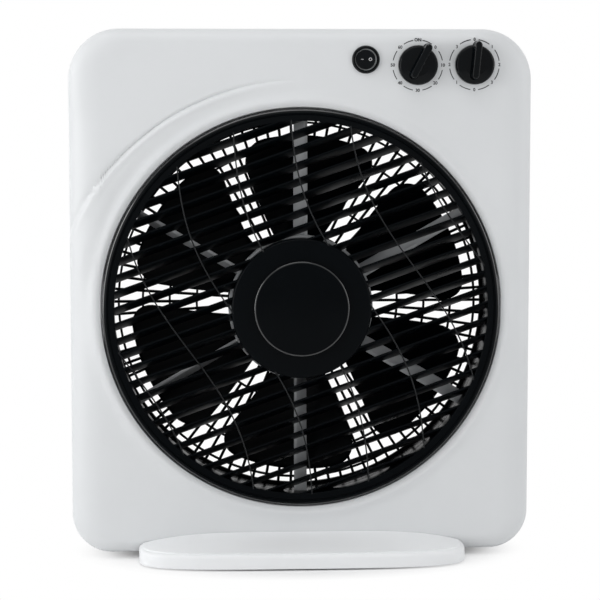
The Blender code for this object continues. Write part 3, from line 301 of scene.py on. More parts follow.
def finish(made, maker, base, roughness, metallic=0.0, height=None, depth=0.0, **uniform):
    # base, roughness and height may vary over the surface, and the rest is the same all over
    sockets = {
        "Base Color": base if isinstance(base, Wire) else (*base, 1),
        "Roughness": roughness,
        "Metallic": metallic,
    }
    for key, value in uniform.items():
        sockets[key.replace("_", " ")] = value
    if height is not None:
        sockets["Normal"] = maker.node("Bump", {"Height": height, "Distance": depth, "Strength": 1.0})
    shader = maker.node("BsdfPrincipled", sockets)
    maker.node("OutputMaterial", {"Surface": shader})
    return made


def beyondRadius(maker, low, high):
    # 0 within the low radius round the fan's axis, 1 beyond the high one
    apart = maker.node("VectorMath", {0: place(maker), 1: tuple(fanAxis)}, operation="SUBTRACT")
    flat = maker.node("VectorMath", {0: apart, 1: (1, 0, 1)}, operation="MULTIPLY")
    return maker.node("VectorMath", {0: flat}, output=1, operation="LENGTH").between(low, high)


def plastic(
    name, colour, rough, grain=0.5, grainSize=0.45 * mm, cloud=0.03, dust=0.0, shine=0.5, edge=None
):
    # moulded plastic: a fine even grain, slow clouds in tone and gloss, and a trace of dust
    made, maker = blank(name)
    clouds = noise(maker, 14, 4)
    fine = noise(maker, 1 / grainSize, 2, 0.6)
    streaks = noise(maker, 55, 5, 0.65, distortion=0.4)
    dark = tuple(c * (1 - cloud) for c in colour)
    light = tuple(min(c * (1 + cloud), 1) for c in colour)
    base = mixed(maker, clouds.between(0.3, 0.7), (*dark, 1), (*light, 1))
    if dust:
        base = mixed(maker, streaks.between(0.5, 0.8) * dust, base, (0.3, 0.3, 0.29, 1))
    roughness = (rough - 0.05) + clouds * 0.06 + streaks * 0.05
    gloss = {"Specular_IOR_Level": shine}
    if edge:  # a polished edge beyond this radius
        gloss["Coat_Weight"] = beyondRadius(maker, edge - 0.8 * mm, edge)
        gloss["Coat_IOR"] = 1.8
        gloss["Coat_Roughness"] = 0.14
    return finish(made, maker, base, roughness, height=fine, depth=grain * 0.02 * mm, **gloss)


def metal(name, colour, rough, direction=(1, 1, 1), streak=0.12, grain=0.3):
    # drawn or turned metal: fine streaks that run along the short axis of direction
    made, maker = blank(name)
    stretched = maker.node("Mapping", {"Vector": place(maker), "Scale": direction})
    lines = noise(maker, 900, 4, 0.7, stretched)
    spots = noise(maker, 130, 5, 0.6)
    dark = tuple(c * (1 - streak) for c in colour)
    base = mixed(maker, (lines * 0.6 + spots * 0.4).between(0.3, 0.7), (*dark, 1), (*colour, 1))
    roughness = (rough - 0.08) + spots * 0.12 + lines * 0.06
    return finish(made, maker, base, roughness, 1.0, lines, grain * 0.02 * mm)


def rubber(name):
    made, maker = blank(name)
    fine = noise(maker, 1600, 3, 0.6)
    pale = noise(maker, 60, 4)
    base = mixed(maker, pale.between(0.4, 0.8), (0.014, 0.014, 0.014, 1), (0.03, 0.03, 0.029, 1))
    return finish(made, maker, base, 0.72 + pale * 0.12, height=fine, depth=0.03 * mm)


def laminations(name):
    # stacked sheets: thin dark lines across the axis
    made, maker = blank(name)
    bands = maker.node(
        "TexWave", {"Scale": 320.0, "Distortion": 0.4, "Detail": 1.0}, output=1, bands_direction="Y"
    )
    maker.tree.links.new(place(maker).socket, bands.socket.node.inputs["Vector"])
    rust = noise(maker, 90, 5)
    base = mixed(maker, bands.between(0.1, 0.5), (0.05, 0.05, 0.055, 1), (0.24, 0.24, 0.25, 1))
    base = mixed(maker, rust.between(0.6, 0.85) * 0.4, base, (0.18, 0.1, 0.06, 1))
    return finish(made, maker, base, 0.42 + rust * 0.2, 0.9, bands, 0.05 * mm)


def winding(name):
    # enamelled wire: fine rings round the fan's axis
    made, maker = blank(name)
    moved = maker.node("Mapping", {"Vector": place(maker), "Location": (0, 0, -fanAxis[2])})
    wire = maker.node(
        "TexWave", {"Vector": moved, "Scale": 260.0, "Distortion": 1.2, "Detail": 2.0, "Detail Scale": 3.0},
        output=1, wave_type="RINGS", rings_direction="Y",
    )
    base = mixed(maker, wire, (0.2, 0.06, 0.02, 1), (0.6, 0.26, 0.1, 1))
    return finish(made, maker, base, 0.32, 0.75, wire, 0.15 * mm)


def ink(name, colour):
    made, maker = blank(name)
    worn = noise(maker, 700, 4)
    base = mixed(maker, worn.between(0.55, 0.9) * 0.35, (*colour, 1), (*(0.5 * c + 0.3 for c in colour), 1))
    return finish(made, maker, base, 0.5 + worn * 0.1)


nearBlack = (0.0014, 0.0021, 0.0028)
whiteShell = plastic("white shell plastic", (0.70, 0.712, 0.722), 0.40, cloud=0.012)
# the foot's white is a lighter copy of the shell's white: painted light for the extra light falling on the
# foot's upward top
footWhiteWithPaintedLight = plastic("white foot plastic", (0.86, 0.87, 0.88), 0.38, cloud=0.012)
# the spider's white is a darker copy of the shell's white: painted shade for the shade behind the slats;
# its grey streaks are dust
spiderWhiteWithPaintedShade = plastic("light spider plastic", (0.60, 0.615, 0.63), 0.42, cloud=0.02, dust=0.05)
blackWheel = plastic(
    "black wheel plastic", nearBlack, 0.28, cloud=0.15, shine=0.05, edge=wheelRadius - 0.5 * mm
)
blackCap = plastic("black cap plastic", nearBlack, 0.24, cloud=0.15, shine=0.05, edge=38.2 * mm)
# the ribs get a lighter copy of the wheel's black: painted highlight for the thin light line along each
# rib, while their extra gloss is rendered by the lamps
ribBlackWithPaintedHighlight = plastic("bright black rib plastic", (0.004, 0.005, 0.006), 0.3, cloud=0.1, shine=0.3)
blackBlades = plastic("black blade plastic", nearBlack, 0.24, cloud=0.15, shine=0.06)
blackGuard = plastic("black guard plastic", nearBlack, 0.36, cloud=0.15, shine=0.06)
blackControl = plastic(
    "polished black plastic", (0.0016, 0.0024, 0.0032), 0.12, grain=0.12, cloud=0.1, shine=0.16
)
blackCase = plastic("black case plastic", (0.018, 0.018, 0.019), 0.5, grain=0.8, cloud=0.1)
paleCase = plastic("pale case plastic", (0.7, 0.7, 0.66), 0.5)
steel = metal("turned steel", (0.56, 0.56, 0.57), 0.28, (1, 12, 1))
zinc = metal("zinc plate", (0.66, 0.66, 0.64), 0.36, (1, 1, 1), 0.25)
alloy = metal("die cast alloy", (0.6, 0.61, 0.62), 0.5, (1, 1, 1), 0.1, 1.2)
bronze = metal("porous bronze", (0.5, 0.32, 0.15), 0.45, (1, 1, 1), 0.4, 1.5)
blackRubber = rubber("moulded rubber")
iron = laminations("stacked iron sheets")
copper = winding("wound copper wire")
darkInk = ink("dark print", (0.006, 0.007, 0.009))
whiteInk = ink("white print", (0.72, 0.72, 0.72))
print("materials made")


# housing

housing = dict(
    wall=2.5 * mm,
    topCorner=41 * mm,
    bottomCorner=32 * mm,
    edgeInset=25 * mm,  # width of the rounded edge at the sides, seen from the front
    edgeShare=0.5,  # the same at the top and bottom, as a share of it
    edgeDepth=11 * mm,
    opening=164 * mm,
    chamber=161 * mm,
    collarCrest=168.5 * mm,
    collarProud=1.9 * mm,
    collarWidth=5.5 * mm,
    fold=3.5 * mm,  # how far the left side falls away below its fold
    creaseStep=1.3 * mm,
    creaseWidth=1.2 * mm,
    around=432,
    across=104,
)


def outlineDistance(x, z, inset=0.0, share=1.0):
    # how far a point lies outside the rounded rectangle of the housing, negative inside. The share makes
    # the inset smaller at the top and bottom
    middle = (frontLow[2] + frontHigh[2]) / 2
    halfWide = frontHigh[0] - inset
    halfHigh = (frontHigh[2] - frontLow[2]) / 2 - inset * share
    corner = np.where(z > middle, housing["topCorner"], housing["bottomCorner"]) - inset * (1 + share) / 2
    dx = np.abs(x) - (halfWide - corner)
    dz = np.abs(z - middle) - (halfHigh - corner)
    outside = np.hypot(np.maximum(dx, 0), np.maximum(dz, 0))
    return outside + np.minimum(np.maximum(dx, dz), 0) - corner


def reach(angles, inset, share=1.0):
    # distance from the fan's axis to the outline along each ray, found by halving
    low, high = np.full_like(angles, 0.1), np.full_like(angles, 0.4)
    for _ in range(44):
        middle = (low + high) / 2
        x, z = middle * np.cos(angles), fanAxis[2] + middle * np.sin(angles)
        inside = outlineDistance(x, z, inset, share) < 0
        low, high = np.where(inside, middle, low), np.where(inside, high, middle)
    return (low + high) / 2


def creaseRadius(angle):
    # the arc in the upper left, whose radius grows towards the left: r = 185.5 + 0.003 (angle - 95)^2
    return (185.5 + 0.003 * (np.clip(angle, 95, 175) - 95) ** 2) * mm


def panelHeight(x, z):
    # how far the front panel stands proud of its base plane: a collar round the opening, a side that falls
    # away on the left below a slanting fold, and an arc step in the upper left that fades out at the top
    dx, dz = x - fanAxis[0], z - fanAxis[2]
    r = np.hypot(dx, dz)
    angle = np.degrees(np.arctan2(dz, dx)) % 360
    beyond = np.maximum(r - housing["collarCrest"], 0)
    collar = housing["collarProud"] * np.where(beyond > 0, bump(beyond, 0, housing["collarWidth"]), 1)
    lip = -1.6 * mm * bump(r, housing["opening"], 3.2 * mm)
    foldWidth = 34 * mm * (1 - smoothStep(z, 352 * mm, 402 * mm))
    aside = np.maximum(foldWidth - (frontHigh[0] + dx), 0) / (34 * mm)
    strength = smoothStep(angle, 86, 116) * (1 - smoothStep(angle, 168, 182))
    out = r - creaseRadius(angle)
    width = housing["creaseWidth"]
    step = smoothStep(-out, -width, width) * smoothStep(r, 172 * mm, 184 * mm)
    ridge = bump(out, -3.2 * mm, 2.2 * mm) * 0.45
    groove = bump(out, 0.6 * mm, 1.2 * mm) * 1.2
    raised = housing["creaseStep"] * strength * (step + ridge - groove)
    return collar + lip - housing["fold"] * aside**2 + raised


def frontShell():
    a = np.linspace(0, 2 * math.pi, housing["around"], endpoint=False)
    wall, inset, seam = housing["wall"], housing["edgeInset"], frontHigh[1]
    rows = []

    def ring(radius, y):
        rows.append(np.stack([radius * np.cos(a), y + 0 * a, fanAxis[2] + radius * np.sin(a)], -1))

    def surface(radius):
        x, z = radius * np.cos(a), fanAxis[2] + radius * np.sin(a)
        return panelFront - panelHeight(x, z)

    # from the chamber out to the collar, over the panel, round the edge, and back inside the walls
    shelf = wheelBack + 2 * mm
    for y in np.linspace(seam, shelf + 0.5 * mm, 5):
        ring(housing["chamber"], y)
    ring(housing["chamber"] + 0.5 * mm, shelf)
    ring(housing["opening"] - 0.3 * mm, shelf)
    ring(housing["opening"], shelf - 0.3 * mm)
    lipRadius = housing["opening"] + 1.2 * mm
    for y in np.linspace(shelf - 2 * mm, panelFront + 1.5 * mm, 5):
        ring(housing["opening"], y)
    for turn in np.linspace(0, 1, 6)[:-1]:
        start = panelFront + 0.8 * mm
        blendY = start + (surface(lipRadius) - start) * math.sin(turn * math.pi / 2)
        ring(housing["opening"] + 1.2 * mm * (1 - math.cos(turn * math.pi / 2)), blendY)
    outer = reach(a, inset, housing["edgeShare"])
    for share in np.linspace(0, 1, housing["across"]):
        radius = lipRadius + (outer - lipRadius) * share
        ring(radius, surface(radius))
    for turn in np.linspace(0, 1, 17)[1:]:
        angle = turn * math.pi / 2
        here = reach(a, inset * (1 - math.sin(angle)), housing["edgeShare"])
        ring(here, surface(here) + housing["edgeDepth"] * (1 - math.cos(angle)))
    edge = reach(a, 0)
    for y in (-20 * mm, -12 * mm, -6 * mm, seam - 0.7 * mm):
        ring(edge, y)
    ring(reach(a, 0.5 * mm), seam)
    ring(reach(a, wall), seam)
    ring(reach(a, wall), -20 * mm)
    ring(reach(a, inset + wall), panelFront + wall + 3 * mm)
    ring(np.minimum(reach(a, inset + wall), 178 * mm), panelFront + wall + 2 * mm)
    ring(housing["opening"] + wall, panelFront + wall + 2 * mm)
    ring(housing["opening"] + wall, shelf + wall)
    ring(housing["chamber"] + wall, shelf + wall)
    ring(housing["chamber"] + wall, seam)
    points = np.stack(rows)
    return piece(
        "front_shell_skin",
        [sheet(points, wrapRows=True)],
        whiteShell,
        "housing",
        ["front_shell"],
    )


def rearShell():
    a = np.linspace(0, 2 * math.pi, housing["around"], endpoint=False)
    wall, inset, seam, back = housing["wall"], housing["edgeInset"], rearLow[1], rearHigh[1]
    duct, ledge = housing["chamber"], boxOf("rear_guard")[1][1] + 0.3 * mm
    rows = []

    def ring(radius, y):
        rows.append(np.stack([radius * np.cos(a), y + 0 * a, fanAxis[2] + radius * np.sin(a)], -1))

    for y in np.linspace(seam, ledge, 5):
        ring(duct, y)
    ring(duct - 2.5 * mm, ledge)
    ring(duct - 2.5 * mm, ledge + 1.5 * mm)
    ring(duct - 2 * mm, ledge + 2 * mm)
    ring(duct, ledge + 2 * mm)
    ring(duct, back - 1.6 * mm)
    ring(duct + 0.5 * mm, back - 0.5 * mm)
    ring(duct + 1.6 * mm, back)
    ring(duct + 6 * mm, back)  # a shallow step ring round the opening
    ring(duct + 6.6 * mm, back - 0.2 * mm)
    ring(duct + 7.4 * mm, back - 1.2 * mm)
    ring(duct + 8 * mm, back - 1.4 * mm)
    outer = reach(a, inset)
    for share in np.linspace(0, 1, 16)[1:]:
        radius = duct + 8 * mm + (outer - duct - 8 * mm) * share
        ring(radius, back - 1.4 * mm)
    for turn in np.linspace(0, 1, 13)[1:]:
        angle = turn * math.pi / 2
        ring(
            reach(a, inset * (1 - math.sin(angle))),
            back - 1.4 * mm - housing["edgeDepth"] * (1 - math.cos(angle)),
        )
    edge = reach(a, 0)
    for y in (16 * mm, 8 * mm, seam + 0.7 * mm):
        ring(edge, y)
    ring(reach(a, 0.5 * mm), seam)
    ring(reach(a, wall), seam)
    ring(reach(a, wall), 20 * mm)
    ring(reach(a, inset + wall), back - wall - 2.4 * mm)
    ring(duct + wall, back - wall - 2.4 * mm)
    ring(duct + wall, seam)
    skin = meshOf("rear_shell_skin", [sheet(np.stack(rows), wrapRows=True)])
    made = piece("rear_shell_skin", skin, whiteShell, "housing", ["rear_shell"])
    wells = []
    for i in range(1, 5):
        low, high = boxOf(f"shell_screw_{i}")
        centre = (low + high) / 2 * (1, 0, 1)
        profile = [
            (0, high[1] - 2 * mm),
            (4.4 * mm, high[1] - 2 * mm),
            (4.4 * mm, back + 2 * mm),
            (0, back + 2 * mm),
        ]
        wells.append(turned(profile, 40, centre, closed=False))
    gland = axisPlace("cable_gland")
    wells.append(
        turned(
            [(0, back - 8 * mm), (5.8 * mm, back - 8 * mm), (5.8 * mm, back + 2 * mm), (0, back + 2 * mm)],
            40,
            gland,
            closed=False,
        )
    )
    return carve(made, wells, 30)


def axisPlace(node):
    # a node's axis along Y, from its box
    low, high = boxOf(node)
    return (low + high) / 2 * (1, 0, 1)


frontShell()
rearShell()
print("housing made")


# louvre wheel

louvre = dict(
    rise=math.radians(19.5),  # slats rise to the right
    pitch=12.27 * mm,
    perSide=12,
    slatThickness=1.8 * mm,
    slatDepth=13.8 * mm,
    slatLean=math.radians(23.5),  # front edge up
    rimWidth=9.4 * mm,
    hub=57.5 * mm,
    ribSpacing=49.3 * mm,
    ribSwing=16.4 * mm,
    ribLength=168 * mm,
    ribWidth=1.1 * mm,
    ribDepth=2.4 * mm,
)
alongSlat = np.array((math.cos(louvre["rise"]), 0, math.sin(louvre["rise"])))
acrossSlat = np.array((-math.sin(louvre["rise"]), 0, math.cos(louvre["rise"])))
deep = np.array((0, 1, 0))


def inWheel(u, v, y):
    # a point of the wheel from its place along the slats, across them, and its depth
    return u[..., None] * alongSlat + v[..., None] * acrossSlat + y[..., None] * deep + fanAxis


def slats():
    rim = wheelRadius - louvre["rimWidth"] + 1.4 * mm
    hub = louvre["hub"] - 0.4 * mm
    section = roundedBar(louvre["slatThickness"], louvre["slatDepth"], 0.7 * mm)
    middle = slatBack - louvre["slatDepth"] / 2 - 0.3 * mm
    made = []
    for row in range(-louvre["perSide"], louvre["perSide"] + 1):
        height = row * louvre["pitch"]
        v = height + section[:, 0] - section[:, 1] * math.tan(louvre["slatLean"])
        y = middle + section[:, 1]
        far = np.sqrt(np.maximum(rim**2 - v**2, 0))
        near = np.sqrt(np.maximum(hub**2 - v**2, 0))
        spans = [(-far, far)] if abs(height) > hub + 3 * mm else [(-far, -near), (near, far)]
        for start, end in spans:
            share = np.linspace(0, 1, 7)[:, None]
            u = start + (end - start) * share
            made.append(sheet(inWheel(u, v + 0 * u, y + 0 * u), capped=True))
    return made


def ribs():
    # each rib follows u = u0 - swing sin(pi v / length) from rim to rim, in front of the slats
    rim = wheelRadius - louvre["rimWidth"] + 1.2 * mm
    section = roundedBar(louvre["ribWidth"], louvre["ribDepth"], 0.54 * mm)
    middle = slatBack - louvre["slatDepth"] - 0.3 * mm + 0.9 * mm
    made = []
    for k in range(-3, 4):
        v = np.linspace(-rim, rim, 900)
        u = k * louvre["ribSpacing"] - louvre["ribSwing"] * np.sin(math.pi * v / louvre["ribLength"])
        r = np.hypot(u, v)
        for side in (r < rim) & (v < 0) & (r > 50 * mm), (r < rim) & (v >= 0) & (r > 50 * mm):
            if not side.any():
                continue
            path = np.stack([u[side], v[side]], -1)
            path = path[np.unique(np.linspace(0, len(path) - 1, 40).astype(int))]
            slope = np.gradient(path, axis=0)
            slope /= np.linalg.norm(slope, axis=1)[:, None]
            normal = np.stack([slope[:, 1], -slope[:, 0]], -1)
            flat = path[:, None, :] + normal[:, None, :] * section[None, :, 0, None]
            y = middle + section[None, :, 1] + 0 * flat[..., 0]
            made.append(sheet(inWheel(flat[..., 0], flat[..., 1], y), capped=True))
    return made


def louvreRibs():
    # the ribs wear the lighter copy of the wheel's black, partly painted highlight
    return piece("louvre_ribs", ribs(), ribBlackWithPaintedHighlight, "louvre")


def louvreWheel():
    r, inner = wheelRadius, wheelRadius - louvre["rimWidth"]
    f = wheelFront
    rim = filleted(
        [
            (inner, f + 2.6 * mm, 0.6 * mm),
            (inner + 4.6 * mm, f + 1.0 * mm, 0.8 * mm),
            (inner + 5.4 * mm, f + 1.5 * mm, 0.3 * mm),
            (inner + 6.0 * mm, f + 1.5 * mm, 0.3 * mm),
            (inner + 6.3 * mm, f, 0.5 * mm),
            (r - 2.6 * mm, f, 1.0 * mm),
            (r, f + 1.8 * mm, 1.2 * mm),
            (r, wheelBack, 0.4 * mm),
            (r - 2.5 * mm, wheelBack, 0.4 * mm),
            (r - 2.5 * mm, f + 4 * mm, 0.5 * mm),
            (inner + 2.5 * mm, f + 4.4 * mm, 0.5 * mm),
            (inner + 2.5 * mm, slatBack, 0.5 * mm),
            (inner, slatBack, 0.5 * mm),
        ],
        5,
        closed=True,
    )
    hub, face = louvre["hub"], wheelFront + 2 * mm
    bore = 5.8 * mm
    plate = filleted(
        [
            (bore, face, 0),
            (hub, face, 2.2 * mm),
            (hub, slatBack, 0.4 * mm),
            (hub - 2.5 * mm, slatBack, 0.4 * mm),
            (hub - 2.5 * mm, face + 2.5 * mm, 1 * mm),
            (bore + 3.2 * mm, face + 2.5 * mm, 1 * mm),
            (bore + 3.2 * mm, slatBack + 0.5 * mm, 0.3 * mm),
            (bore, slatBack + 0.5 * mm, 0),
        ],
        6,
        closed=True,
    )
    sheets = [turned(rim, 288), turned(plate, 160)] + slats()
    return piece("louvre_wheel_skin", sheets, blackWheel, "louvre", ["louvre_wheel"])


def hubCap():
    low, high = boxOf("louvre_hub_cap")
    radius = (high[0] - low[0]) / 2
    front, edge = low[1], high[1]
    crown = np.linspace(0, 1, 22)
    dome = np.stack([crown * (radius - 1.4 * mm), front + 2.6 * mm * crown**2.4], -1)
    shoulder = filleted(
        [dome[-1].tolist() + [0], (radius, front + 3.0 * mm, 1.3 * mm), (radius, edge, 0)], 6
    )
    inside = [
        (radius - 1.8 * mm, edge),
        (radius - 1.8 * mm, front + 4.6 * mm),
        (radius * 0.6, front + 2.6 * mm),
        (0, front + 1.8 * mm),
    ]
    profile = np.concatenate([dome, shoulder[1:], inside])
    return piece(
        "louvre_hub_cap_skin",
        [turned(profile, 160, closed=False)],
        blackCap,
        "louvre",
        ["louvre_hub_cap"],
        50,
    )


louvreWheel()
louvreRibs()
hubCap()
print("louvre wheel made")


# spider

def spider():
    low, high = boxOf("spider")
    outer = (high[0] - low[0]) / 2
    hub, front = 59.6 * mm, low[1]
    plate = filleted(
        [
            (3.3 * mm, front, 0),
            (hub, front, 1.2 * mm),
            (hub, front + 4.5 * mm, 0.8 * mm),
            (14 * mm, front + 4.5 * mm, 1.5 * mm),
            (10 * mm, front + 9 * mm, 0.6 * mm),
            (3.3 * mm, front + 9 * mm, 0),
        ],
        5,
        closed=True,
    )
    ringFront, ringBack, inner = wheelBack + 2.6 * mm, wheelBack + 8.6 * mm, outer - 3.4 * mm
    corners = [(inner, ringFront, 0.6 * mm), (outer, ringFront, 0.3 * mm), (outer, ringBack, 0.3 * mm)]
    ring = filleted(corners + [(inner, ringBack, 0.6 * mm)], 3, closed=True)
    sheets = [turned(plate, 144), turned(ring, 240)]
    section = roundedBar(1, 1, 0.12, 3)
    near, far = hub - 4 * mm, inner + 1 * mm
    # how far each arm leans sideways from its front edge to its back, from the top one on
    armLean = np.array((9, 5, 6, 9, 9, 8)) * mm
    for i in range(6):
        angle = math.pi / 2 + i * math.pi / 3
        along = np.array((math.cos(angle), 0, math.sin(angle)))
        clockwise = np.array((math.sin(angle), 0, -math.cos(angle)))
        share = np.linspace(0, 1, 5)[:, None]
        out = near + (far - near) * share
        start = front + 1 * mm + (ringFront - 0.6 * mm - front - 1 * mm) * share
        end = high[1] + (ringBack - 0.5 * mm - high[1]) * share
        deepness = section[None, :, 1] + 0.5
        y = start + (end - start) * deepness
        side = 2.6 * mm * section[None, :, 0] + armLean[i] * (0.5 - deepness)
        points = out[..., None] * along + side[..., None] * clockwise + y[..., None] * deep + fanAxis
        sheets.append(sheet(points, capped=True))
    # the spider wears the darker copy of the shell's white, painted shade
    return piece("spider_skin", sheets, spiderWhiteWithPaintedShade, "housing", ["spider"])


def ductRing():
    low, high = boxOf("duct_ring")
    outer = (high[0] - low[0]) / 2
    inner = outer - 1.8 * mm
    corners = [(inner, low[1], 0.5 * mm), (outer, low[1], 0.3 * mm), (outer, high[1], 0.3 * mm)]
    profile = filleted(corners + [(inner, high[1], 0.5 * mm)], 3, closed=True)
    piece("duct_ring_skin", [turned(profile, 240)], blackBlades, "housing", ["duct_ring"])


spider()
ductRing()
print("spider and duct ring made")


# impeller

impellerShape = dict(
    tip=141 * mm,
    hub=56 * mm,
    gap=20 * mm,
    thickness=2.2 * mm,
    corner=22 * mm,
    sweep=math.radians(5),
    camber=2.2 * mm,
)


def blade(middle, front, depth):
    # rows run outwards and columns round the section: side goes from -1, the front edge, to 1, the edge
    # at the back, over the front face and back over the rear face
    shape = impellerShape
    rows, columns = 26, 34
    half = np.linspace(0, math.pi, columns)
    side = np.concatenate([-np.cos(half), np.cos(half)[1:-1]])[None, :]
    face = np.concatenate([np.ones(columns), -np.ones(columns - 2)])[None, :]
    face[:, 0] = face[:, columns - 1] = 0
    tipWidth = 2 * math.pi * shape["tip"] / 6 - shape["gap"]
    cut = np.maximum(shape["corner"] - (1 - np.abs(side)) * tipWidth / 2, 0)
    tip = shape["tip"] - (shape["corner"] - np.sqrt(shape["corner"] ** 2 - cut**2))
    root = shape["hub"] - 1.4 * mm
    share = np.sin(np.linspace(0, math.pi / 2, rows))[:, None]
    radius = root + (tip - root) * share
    spread = (2 * math.pi * radius / 6 - shape["gap"]) / 2 / radius
    angle = middle - side * spread - shape["sweep"] * (radius - root) / (shape["tip"] - root)
    section = np.sqrt(np.maximum(1 - side**8, 0)) * np.sqrt(np.maximum(1 - share**30, 0))
    y = front + depth * (0.5 + 0.42 * side) + shape["camber"] * (1 - side**2)
    y = y - face * shape["thickness"] / 2 * section
    return sheet(np.stack([radius * np.cos(angle), y, radius * np.sin(angle)], -1) + fanAxis, capped=True)


def impeller():
    low, high = boxOf("impeller")
    front, back, hub = low[1] + 3 * mm, high[1], impellerShape["hub"]
    cup = filleted(
        [
            (4.3 * mm, front - 3 * mm, 0),
            (8 * mm, front - 3 * mm, 1 * mm),
            (10 * mm, front, 1.5 * mm),
            (hub, front, 5 * mm),
            (hub, back, 0.6 * mm),
            (hub - 2.5 * mm, back, 0.6 * mm),
            (hub - 2.5 * mm, front + 2.5 * mm, 3 * mm),
            (4.3 * mm, front + 2.5 * mm, 0),
        ],
        6,
        closed=True,
    )
    sheets = [turned(cup, 144)]
    sheets += [blade(math.radians(30 + 60 * i), front, back - front) for i in range(6)]
    piece("impeller_skin", sheets, blackBlades, "impeller", ["impeller"], 40)
    low, high = boxOf("impeller_nut")
    nut = filleted(
        [
            (0, low[1], 0),
            (5 * mm, low[1], 2 * mm),
            (9 * mm, low[1] + 3.5 * mm, 1.5 * mm),
            (9 * mm, high[1], 0.4 * mm),
            (4.3 * mm, high[1], 0),
        ],
        6,
    )
    nutSheet = turned(nut, 48, closed=False)
    a = np.linspace(0, 2 * math.pi, 48, endpoint=False)
    squeeze = 1 - 0.05 * (0.5 - 0.5 * np.cos(6 * a))
    centred = nutSheet["points"] - fanAxis
    centred[..., 0] *= squeeze
    centred[..., 2] *= squeeze
    nutSheet["points"] = centred + fanAxis
    piece("impeller_nut_skin", [nutSheet], blackBlades, "impeller", ["impeller_nut"], 50)


impeller()
print("impeller made")


# rear guard and motor cover

guardShape = dict(
    rings=(85.3 * mm, 108.2 * mm, 130.9 * mm, 151.3 * mm),
    ringWidth=1.9 * mm,
    plate=59 * mm,
    barWidth=2.3 * mm,
    outerBars=90,
)


def rearGuard():
    low, high = boxOf("rear_guard")
    front, back = low[1], high[1]
    outer = (high[0] - low[0]) / 2
    hole = 44.2 * mm
    sheets = []

    def ringProfile(inner, outward, near, far, radius=0.7 * mm):
        return filleted(
            [(inner, near, radius), (outward, near, radius), (outward, far, radius), (inner, far, radius)],
            3,
            closed=True,
        )

    sheets.append(turned(ringProfile(hole, guardShape["plate"], front, back), 144))
    sheets.append(turned(ringProfile(outer - 4.2 * mm, outer, front, back), 240))
    for ring in guardShape["rings"]:
        half = guardShape["ringWidth"] / 2
        sheets.append(turned(ringProfile(ring - half, ring + half, front + 0.8 * mm, back, 0.6 * mm), 180))
    section = roundedBar(guardShape["barWidth"], back - front - 0.6 * mm, 0.65 * mm, 2)
    for i in range(guardShape["outerBars"]):
        angle = 2 * math.pi * i / guardShape["outerBars"]
        start = guardShape["plate"] - 1 * mm if i % 2 == 0 else guardShape["rings"][0]
        along = np.array((math.cos(angle), 0, math.sin(angle)))
        sideways = np.array((-math.sin(angle), 0, math.cos(angle)))
        out = np.array((start, outer - 2 * mm))[:, None]
        y = (front + back) / 2 + section[None, :, 1] + 0 * out
        across = section[None, :, 0] + 0 * out
        points = out[..., None] * along + across[..., None] * sideways + y[..., None] * deep + fanAxis
        sheets.append(sheet(points, capped=True))
    return piece("rear_guard_skin", sheets, blackGuard, "housing", ["rear_guard"])


def motorCover():
    low, high = boxOf("motor_cover")
    front, back = low[1], high[1]
    radius, wall = (high[0] - low[0]) / 2, 2 * mm
    profile = filleted(
        [
            (0, back, 0),
            (radius * 0.8, back - 0.6 * mm, 3 * mm),
            (radius - 2.4 * mm, back - 6 * mm, 7 * mm),
            (radius - 1.2 * mm, front + 3.4 * mm, 1 * mm),
            (radius, front + 3 * mm, 0.5 * mm),
            (radius, front, 0.4 * mm),
            (radius - wall, front, 0),
            (radius - 2 * wall, back - 7 * mm, 6 * mm),
            (radius * 0.78, back - wall - 0.6 * mm, 2 * mm),
            (0, back - wall, 0),
        ],
        8,
    )
    cover = piece(
        "motor_cover_skin",
        [turned(profile, 144, closed=False)],
        blackGuard,
        "housing",
        ["motor_cover"],
    )
    slots = []
    for i in range(7):
        height = (i - 3) * 9 * mm
        half = math.sqrt((radius - 17 * mm) ** 2 - height**2)
        outline = filleted(
            [
                (half, height - 1.7 * mm, 1.69 * mm),
                (half, height + 1.7 * mm, 1.69 * mm),
                (-half, height + 1.7 * mm, 1.69 * mm),
                (-half, height - 1.7 * mm, 1.69 * mm),
            ],
            5,
            closed=True,
        )
        y = np.array((back - 3 * wall, back + 2 * mm))[:, None] + 0 * outline[None, :, 0]
        x, z = outline[None, :, 0] + 0 * y, outline[None, :, 1] + 0 * y
        slots.append(sheet(np.stack([x, y, z], -1) + fanAxis, capped=True))
    return carve(cover, slots, 30)


rearGuard()
motorCover()
print("guard and cover made")


# controls

controls = dict(
    knobRadius=16.25 * mm,
    gripWidth=6.6 * mm,
    pointerReach=18.9 * mm,
    tailReach=12.2 * mm,
    printRadius=20.4 * mm,
    printSize=3.6 * mm,
    strokeHalf=0.36 * mm,
)


